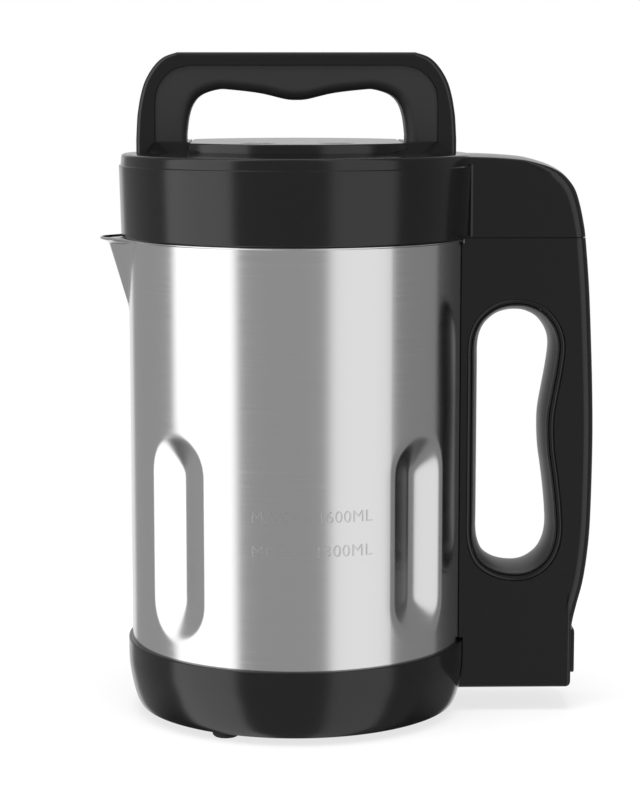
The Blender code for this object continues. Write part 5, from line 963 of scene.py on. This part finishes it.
inside = [(0, HEAD_TOP_Z - WALL), (HEAD_LOW_R - WALL - 2 * MM, HEAD_TOP_Z - WALL)]
inside += [(HEAD_LOW_R - WALL, LEDGE_Z), (HEAD_LOW_R - WALL, SEAM_Z - MM), (0, SEAM_Z - MM)]
carve(cover, turned("inside", inside, 96))
PANEL_R = 62 * MM
PANEL_HALF = 49.4 * MM
panel_low, panel_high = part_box("top_panel")


def panel_line(margin):
    """The panel's outline: a disc with its two sides cut straight."""
    corner = math.degrees(math.acos((PANEL_HALF + margin) / (PANEL_R + margin)))
    front = arc((0, 0), PANEL_R + margin, corner - 180, -corner, 40)
    return front + arc((0, 0), PANEL_R + margin, corner, 180 - corner, 40)


carve(cover, slab("panel_hole", panel_line(GAP), HEAD_TOP_Z - 8 * MM, HEAD_TOP_Z + 8 * MM, "Z"))
plug_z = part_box("head_connector")[1].z
carve(cover, plug_room("plug_room", SEAM_Z + WALL, plug_z + MM, 2 * MM))
carve(cover, plug_room("plug_window", SEAM_Z - MM, SEAM_Z + WALL + MM))
keep_flat(cover)
finish_piece(cover, "head_body", ["head_shell"], "gloss_black")

# %% [markdown]
# ### Top panel and buttons
# A raised panel carries two round buttons. The photograph shows it only edge on, so its
# face stays plain, with a power sign on one button and three dots on the other.

# %% Top panel
BUTTON_R = 8 * MM
BUTTON_Y = -36 * MM
BUTTONS = {"start": -18 * MM, "mode": 18 * MM}
panel = slab("control_panel", panel_line(0), panel_low.z, panel_high.z, "Z", edge=0.8 * MM)
for x in BUTTONS.values():
    drill(panel, AXIS + Vector((x, BUTTON_Y, panel_high.z)), BUTTON_R + GAP, 30 * MM, 64)
carve(panel, slab("room", panel_line(-2 * MM), panel_low.z - MM, panel_high.z - 2 * MM, "Z"))
keep_flat(panel, 35)
finish_piece(panel, "head_body", ["top_panel"], "gloss_black")

# %% Buttons
def turned_at(name, centre, profile, steps=64):
    """A turned piece whose axis stands at another place."""
    piece = turned(name, profile, steps)
    piece.location = centre
    return settle(piece)


button_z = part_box("start_button")[0].z
top_z = panel_high.z + 0.12 * MM
for kind, x in BUTTONS.items():
    profile = [(0, top_z - 0.25 * MM), (4 * MM, top_z - 0.2 * MM), (6.6 * MM, top_z)]
    profile += arc((BUTTON_R - 0.7 * MM, top_z - 0.7 * MM), 0.7 * MM, 80, 0, 4)
    profile += [(BUTTON_R, button_z + 1.5 * MM), (BUTTON_R + 1.5 * MM, button_z + 1.5 * MM)]
    profile += [(BUTTON_R + 1.5 * MM, button_z), (0, button_z)]
    button = turned_at(f"{kind}_button_cap", (x, BUTTON_Y, 0), profile)
    finish_piece(button, f"{kind}_button_body", [f"{kind}_button"], "satin_black", "gloss_black")

# %% Signs on the buttons
SIGN_R = 2.6 * MM
SIGN_LINE = 0.55 * MM
SIGN_GAP = 40
sign_low, sign_high = top_z - 0.5 * MM, top_z - 0.1 * MM
x = BUTTONS["start"]
ring = arc((x, BUTTON_Y), SIGN_R, 90 + SIGN_GAP, 450 - SIGN_GAP, 32)
ring += arc((x, BUTTON_Y), SIGN_R - SIGN_LINE, 450 - SIGN_GAP, 90 + SIGN_GAP, 32)
power_sign = slab("power_sign", ring, sign_low, sign_high, "Z")
low = (x - SIGN_LINE / 2, BUTTON_Y + 0.6 * MM, sign_low)
bar = block("bar", low, (x + SIGN_LINE / 2, BUTTON_Y + 3.2 * MM, sign_high))
carve(power_sign, bar, "UNION")
finish_piece(power_sign, "start_button_body", [], "grey_plastic", "ink")
profile = [(0, sign_high), (0.6 * MM, sign_high), (0.6 * MM, sign_low), (0, sign_low)]
dots = None
for step in (-2, 0, 2):
    dot = turned_at("mode_dots", (BUTTONS["mode"] + step * MM, BUTTON_Y, 0), profile, 20)
    dots = carve(dots, dot, "UNION") if dots else dot
finish_piece(dots, "mode_button_body", [], "grey_plastic", "ink")

# %% [markdown]
# ### Carrying handle
# Two flared feet rise over the head's cover into an arch with a gloss frame, and a satin
# grip with a wavy underside fills the arch. The feet are drawn as the tight skin round a
# few points, as a sculptor would stretch clay, and then rounded.

# %% Carrying handle
frame_top_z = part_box("carry_handle_frame")[1].z
OUTER_SHARES = (
    (1.0, 0.195), (0.993, 0.38), (0.986, 0.47), (0.970, 0.60), (0.942, 0.735), (0.890, 0.865),
    (0.825, 0.955), (0.740, 1.0),
)
BAND_SHARES = ((1.0, 0.60), (0.985, 0.75), (0.93, 0.88), (0.85, 0.965), (0.745, 1.0))
GAP_SHARES = (
    (1.0, 0.28), (0.975, 0.60), (0.93, 0.80), (0.85, 0.925), (0.71, 0.995), (0.60, 0.995),
    (0.33, 0.945), (0.10, 0.862), (0.0, 0.850),
)
CARRY_HALF = 74.5 * MM
BAND_HALF = 65.8 * MM
GAP_HALF = 51.5 * MM
CARRY_FOOT_Z = 262 * MM
BAND_TOP_Z = 306.3 * MM
GAP_PEAK_Z = 295.1 * MM
GRIP_FOOT_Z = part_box("carry_handle_grip")[0].z - 1.4 * MM


def scaled_line(shares, half_span, top_z):
    """A smooth line through shares of a half span and of a height over the feet."""
    height = top_z - CARRY_FOOT_Z
    return smooth_line([(half_span * a, CARRY_FOOT_Z + height * b) for a, b in shares])


outer = scaled_line(OUTER_SHARES, CARRY_HALF, frame_top_z)
band = scaled_line(BAND_SHARES, BAND_HALF, BAND_TOP_Z)
gap_line = scaled_line(GAP_SHARES, GAP_HALF, GAP_PEAK_Z)
arch = mirrored([(CARRY_HALF, CARRY_FOOT_Z)] + outer)
carry = slab("carrying_handle", arch, -14.2 * MM, 14.2 * MM, edge=2.5 * MM, edge_steps=5)
arch_room = mirrored([(BAND_HALF, CARRY_FOOT_Z - MM)] + band)
carve(carry, slab("arch_room", arch_room, -20 * MM, 20 * MM))
PAD_TOP_Z = 271.2 * MM
PAD_FOOT_R = 74.3 * MM
PAD_REACH = 56 * MM
for side in (-1, 1):
    points = []
    for way in (-1, 1):
        points.append((44 * MM * side, 34 * MM * way, PAD_TOP_Z))
        points.append((34 * MM * side, 55 * MM * way, CARRY_FOOT_Z))
        points.append((67 * MM * side, 13 * MM * way, PAD_TOP_Z))
    reach = math.degrees(math.asin(PAD_REACH / PAD_FOOT_R))
    points += [(a * side, b, CARRY_FOOT_Z) for a, b in arc((0, 0), PAD_FOOT_R, -reach, reach, 24)]
    pad = chain("pad", points)
    bpy.ops.mesh.convex_hull()
    switch("OBJECT")
    settle(pad)
    use_modifier(pad, "REMESH", mode="VOXEL", voxel_size=1.1 * MM)
    use_modifier(pad, "SMOOTH", factor=0.5, iterations=10)
    carve(carry, pad, "UNION")
crown = [(0, SEAM_Z), (HEAD_R, SEAM_Z), (HEAD_R, LEDGE_Z), (BAND_TOP_R, SHOULDER_Z + WELD)]
crown += [(across, up + WELD) for across, up in (*CROWN, (0, HEAD_TOP_Z))]
carve(carry, turned("crown", crown, 160))
carve(carry, slab("panel_room", panel_line(GAP), SEAM_Z, panel_high.z + GAP, "Z"))
keep_flat(carry, 35)
finish_piece(carry, "head_body", ["carry_handle_frame"], "gloss_black")

# %% Grip in the carrying handle
GRIP_HALF = 13.4 * MM
GRIP_EDGE = 5 * MM
FAR = 80 * MM
room_line = mirrored([(BAND_HALF - WELD, GRIP_FOOT_Z)] + [(a - WELD, b - WELD) for a, b in band])
grip = slab("grip_inlay", room_line, -GRIP_HALF, GRIP_HALF, edge=0.3 * MM, edge_steps=2)
lower = [(GAP_HALF, GRIP_FOOT_Z - FAR)] + [p for p in gap_line if p[1] > GRIP_FOOT_Z + 2 * MM]
round_line = mirrored([(FAR, GRIP_FOOT_Z - FAR), (FAR, frame_top_z + FAR)])
round_line += mirrored(lower)[::-1]
rounded = slab("rounded", round_line, -GRIP_HALF, GRIP_HALF, edge=GRIP_EDGE, edge_steps=7)
carve(grip, rounded, "INTERSECT")
keep_flat(grip, 35)
finish_piece(grip, "head_body", ["carry_handle_grip"], "satin_black", "soft_touch")

# %% [markdown]
# ## What hangs inside the jug
# With the head lifted, the steel motor cup and its mast show, the moulded floor round
# them, a ribbed silicone seal, two probes and the blade.

# %% Motor cup
cup_low, cup_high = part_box("motor_cup")
CUP_R = 46 * MM
STEP_Z = 197 * MM
MAST_R = 13 * MM
MAST_TOP_Z = 181 * MM
brim_z = cup_high.z - STEEL
cup_points = [(cup_high.y, brim_z), (CUP_R, brim_z), (CUP_R, STEP_Z - STEEL)]
cup_points += [(34 * MM, STEP_Z - STEEL), (30 * MM, 190 * MM), (MAST_R, MAST_TOP_Z)]
cup_points += [(MAST_R, cup_low.z), (0, cup_low.z)]
cup_rounds = [(radius * MM, 5) for radius in (0.6, 3, 2, 3, 4, 0.35)]
profile = [(cup_high.y, cup_high.z), cup_points[0]] + rounded_line(cup_points, cup_rounds)
bore = MAST_R - STEEL
profile += [(bore, cup_low.z), (bore, MAST_TOP_Z), (29 * MM, 191 * MM), (33 * MM, STEP_Z)]
profile += [(CUP_R - 4 * MM, STEP_Z), (CUP_R - STEEL, STEP_Z + 3 * MM)]
profile += [(CUP_R - STEEL, cup_high.z)]
cup = turned("motor_cup_and_mast", profile + profile[:1])
finish_piece(cup, "head_body", ["motor_cup"], "polished_steel")

# %% Head floor and seal
SKIRT_R = JUG_R - STEEL - 2 * GAP
SKIRT_WALL = 4.5 * MM
SEAL_TOP_Z = DECK_Z - 4.8 * MM
SEAL_LOW_Z = SEAL_TOP_Z - 4 * MM
SEAL_WIDTH = 2.4 * MM
floor_low, floor_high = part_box("head_base")
groove_r = SKIRT_R - SEAL_WIDTH
in_r = SKIRT_R - SKIRT_WALL
lip_r = floor_high.y - 2.6 * MM
lip_z = DECK_Z + 2.2 * MM
profile = [(floor_high.y, floor_high.z), (floor_high.y, DECK_Z), (SKIRT_R, DECK_Z)]
profile += [(SKIRT_R, SEAL_TOP_Z + GAP), (groove_r, SEAL_TOP_Z + GAP)]
profile += [(groove_r, SEAL_LOW_Z - GAP), (SKIRT_R, SEAL_LOW_Z - GAP)]
profile += arc((SKIRT_R - 1.2 * MM, floor_low.z + 1.2 * MM), 1.2 * MM, 0, -90, 4)
profile += arc((in_r + 0.8 * MM, floor_low.z + 0.8 * MM), 0.8 * MM, -90, -180, 3)
profile += [(in_r, DECK_Z - 1.5 * MM), (in_r - 1.5 * MM, DECK_Z), (CUP_R + GAP, DECK_Z)]
profile += [(CUP_R + GAP, lip_z), (lip_r, lip_z), (lip_r, floor_high.z)]
profile += [(floor_high.y, floor_high.z)]
head_floor = turned("head_floor", profile, 128)
PROBE_STEMS = {"overflow_probe": 2.5 * MM, "temperature_probe": 3.2 * MM}
for node in (*PROBE_STEMS, "head_screw_1", "head_screw_2", "head_screw_3"):
    low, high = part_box(node)
    place = ((low.x + high.x) / 2, (low.y + high.y) / 2, DECK_Z)
    drill(head_floor, place, PROBE_STEMS.get(node, 1.5 * MM) + GAP, 12 * MM)
settle(head_floor, 35)
finish_piece(head_floor, "head_body", ["head_base"], "satin_black")
seal_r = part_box("head_seal")[1].y
rib = (SEAL_TOP_Z - SEAL_LOW_Z) / 4
profile = [(groove_r + GAP, SEAL_TOP_Z)]
for number in range(2):
    middle = (SKIRT_R - GAP, SEAL_TOP_Z - rib * (1 + 2 * number))
    profile += arc(middle, min(rib * 0.9, seal_r - middle[0]), 80, -80, 6)
profile += [(groove_r + GAP, SEAL_LOW_Z), (groove_r + GAP, SEAL_TOP_Z)]
seal = turned("ribbed_seal", profile, 128)
finish_piece(seal, "head_body", ["head_seal"], "silicone_grey")

# %% Probes
for node, stem in PROBE_STEMS.items():
    low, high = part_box(node)
    place = ((low.x + high.x) / 2 - AXIS.x, (low.y + high.y) / 2, 0)
    collar_r = high.y - place[1]
    seat_z = lip_z + GAP
    profile = [(0, high.z), (stem, high.z), (stem, seat_z + 1.5 * MM)]
    profile += [(collar_r, seat_z + 1.5 * MM), (collar_r, seat_z), (stem, seat_z)]
    profile += arc((0, low.z + stem), stem, 0, -90, 8)
    probe = turned_at(node.replace("_probe", "_sensor"), place, profile, 40)
    finish_piece(probe, "head_body", [node], "polished_steel")

# %% [markdown]
# ### Blade
# Two stamped strips cross on the shaft, one with its tips bent up and one with its tips
# bent down. Their long edges are ground to a bevel.

# %% Blade
blade_low, blade_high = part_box("blade")
BLADE_REACH = (blade_high.x - blade_low.x) / 2
BLADE_THICK = 1.8 * MM
BLADE_FLAT = 13 * MM
BLADE_HALF = 5.5 * MM
BLADE_Z = 55.5 * MM
SHAFT_HOLE_R = 4.3 * MM


def blade_strip(name, lift):
    """A strip along X whose two ends are bent by a lift, with rounded bends."""
    lines = []
    for z in (BLADE_Z + BLADE_THICK, BLADE_Z):
        tip = (BLADE_REACH, z + lift)
        lines.append(mirrored([tip] + rounded_corner(tip, (BLADE_FLAT, z), (0, z), 3 * MM)))
    return slab(name, lines[0] + lines[1][::-1], -BLADE_HALF, BLADE_HALF)


blade = blade_strip("cross_blade", 9 * MM)
down = blade_strip("down", -7 * MM)
switch("EDIT")
bpy.ops.mesh.select_all(action="SELECT")
bpy.ops.transform.rotate(value=math.pi / 2, orient_axis="Z", center_override=AXIS)
switch("OBJECT")
for strip in (blade, down):
    round_edges(strip, 0.5 * MM, 2, 60)
carve(blade, down, "UNION")
drill(blade, AXIS + Vector((0, 0, BLADE_Z)), SHAFT_HOLE_R, 10 * MM, 48)
settle(blade, 30)
finish_piece(blade, "rotor_body", ["blade"], "polished_steel")

# %% [markdown]
# ## Filling marks
# Two filling marks are embossed in the wall: the most that may be filled, 1600 ml, and
# the least, 1300 ml. They are set flat, bent round the jug, and stand 0.2 mm proud.

# %% Filling marks
MARK_HEIGHT = 5.6 * MM
MARK_RELIEF = 0.22 * MM
MARK_START = math.radians(-15.4)
MARK_WIDTH = 55.5 * MM


def filling_mark(name, words, z):
    """A line of raised letters bent round the jug."""
    start_fresh()
    bpy.ops.object.text_add(rotation=(math.pi / 2, 0, 0))
    text = bpy.context.object
    text.name = name
    letters = text.data
    letters.body = words
    letters.size = MARK_HEIGHT * 1.37
    letters.extrude = MARK_RELIEF
    letters.offset = -0.05 * MM
    letters.space_character = 1.08
    letters.align_x = "LEFT"
    bpy.ops.object.convert(target="MESH")
    mark = bpy.context.object
    bpy.ops.object.transform_apply(location=True, rotation=True, scale=True)
    mark.scale.x = MARK_WIDTH / mark.dimensions.x
    bpy.ops.object.transform_apply(location=True, rotation=True, scale=True)
    span = mark.dimensions.x
    mark.location.x = -span / 2 - min(corner[0] for corner in mark.bound_box)
    settle(mark)
    bend = span / JUG_R
    use_modifier(mark, "SIMPLE_DEFORM", deform_method="BEND", deform_axis="Z", angle=bend)
    turn = MARK_START + bend / 2
    mark.rotation_euler.z = turn
    mark.location = AXIS + Vector((math.sin(turn), -math.cos(turn), 0)) * JUG_R + Vector((0, 0, z))
    settle(mark, 30)
    return finish_piece(mark, "jug_body", [], "brushed_steel", "embossed")


filling_mark("most_mark", "MAX — 1600ML", 103 * MM)
filling_mark("least_mark", "MIN — 1300ML", 87.5 * MM)

# %% [markdown]
# ## The stage
# A plain pale floor, soft light from all round, and the camera at the photograph's
# place: 1.1 m in front, 0.3 m up, looking slightly down. A polished jug shows what stands
# round it, so the studio is drawn in the sky: white boxes with grey cloth between them.

# %% Floor
start_fresh()
bpy.ops.mesh.primitive_circle_add(radius=0.36, vertices=96, fill_type="NGON", location=AXIS)
floor = bpy.context.object
floor.name = "floor"
cloth, tree, shader = new_material("white_paper", "#F4F4F4", 0.8)
grain = add_node(tree, "TexCoord").outputs["Object"]
fibre = add_node(tree, "TexNoise", {"Scale": 700, "Detail": 3}, {"Vector": grain})
dent(tree, shader, fibre, 0.05, 0.05 * MM)
shine = add_node(tree, "Emission", {"Color": (1, 1, 1, 1), "Strength": 1.0})
seen = add_node(tree, "LightPath").outputs["Is Camera Ray"]
share = add_node(tree, "Math", {1: 0.75}, {0: seen}, operation="MULTIPLY")
paper = add_node(tree, "MixShader", links={0: share, 1: shader, 2: shine})
tree.links.new(paper.outputs[0], tree.nodes["Material Output"].inputs["Surface"])
dress(floor, cloth)
floor.visible_glossy = False

# %% Studio light
world = bpy.data.worlds.new("studio")
bpy.context.scene.world = world
world.use_nodes = True
tree = world.node_tree
tree.nodes.clear()
way = add_node(tree, "TexCoord").outputs["Generated"]
axes = add_node(tree, "SeparateXYZ", links={0: way}).outputs
ahead = add_node(tree, "Math", {1: -1}, {0: axes["Y"]}, operation="MULTIPLY")
around = add_node(tree, "Math", links={0: axes["X"], 1: ahead}, operation="ARCTAN2")
share = add_node(tree, "MapRange", {"From Min": -math.pi, "From Max": math.pi}, {"Value": around})
ramp = add_node(tree, "ValToRGB", links={"Fac": share})
BANDS = (
    (-180, 0.92), (-156, 0.92), (-150, 0.34), (-95, 0.34), (-91, 1.5), (-44, 1.5), (-40, 0.34),
    (18, 0.34), (25, 0.97), (64.5, 0.97), (69.5, 0.25), (114, 0.25), (150, 0.13), (157, 0.92),
    (180, 0.92),
)
bands = ramp.color_ramp
while len(bands.elements) < len(BANDS):
    bands.elements.new(0.5)
for element, (angle, level) in zip(bands.elements, BANDS):
    element.position = (angle + 180) / 360
    element.color = (level / 2, level / 2, level / 2, 1)
turn_back = add_node(tree, "Math", links={0: around}, operation="ABSOLUTE")


def rise(value, start, end):
    """Zero to one while the value goes from start to end."""
    return add_node(tree, "MapRange", {"From Min": start, "From Max": end}, {"Value": value})


def level_where(first, second, low, high):
    """A level that changes from low to high where both shares are one."""
    both = add_node(tree, "Math", links={0: first, 1: second}, operation="MULTIPLY")
    return add_node(tree, "MapRange", {"To Min": low, "To Max": high}, {"Value": both})


behind = rise(turn_back, math.radians(148), math.radians(157))
back_level = level_where(behind, rise(axes["Z"], -0.03, 0.05), 2.0, 1.6)
beside = rise(turn_back, math.radians(92), math.radians(100))
low_level = level_where(beside, rise(axes["Z"], -0.42, -0.6), 1.0, 0.3)
level = add_node(tree, "Math", links={0: back_level, 1: low_level}, operation="MULTIPLY")
glow = add_node(tree, "Background", links={"Color": ramp, "Strength": level})
plain = add_node(tree, "Background", {"Color": (1, 1, 1, 1), "Strength": 1.0})
seen = add_node(tree, "LightPath").outputs["Is Camera Ray"]
pick = add_node(tree, "MixShader", links={0: seen, 1: glow, 2: plain})
add_node(tree, "OutputWorld", links={"Surface": pick})

# %% Overhead box
lamp = bpy.data.lights.new("overhead_box", "AREA")
lamp.size = 0.9
lamp.energy = 30
overhead = new_object("overhead_box", lamp)
overhead.location = AXIS + Vector((0, -0.2, 1.6))
overhead.visible_glossy = False

# %% Camera
camera = new_object("camera", bpy.data.cameras.new("camera"))
camera.location = AXIS + Vector((-14.5 * MM, -1103.5 * MM, 300.2 * MM))
camera.rotation_euler = (math.radians(82.05), 0, math.radians(-1.335))
camera.data.lens = 103.92
camera.data.sensor_width = 36
camera.data.clip_start = 0.01
bpy.context.scene.camera = camera
bpy.context.scene.view_settings.view_transform = "Standard"
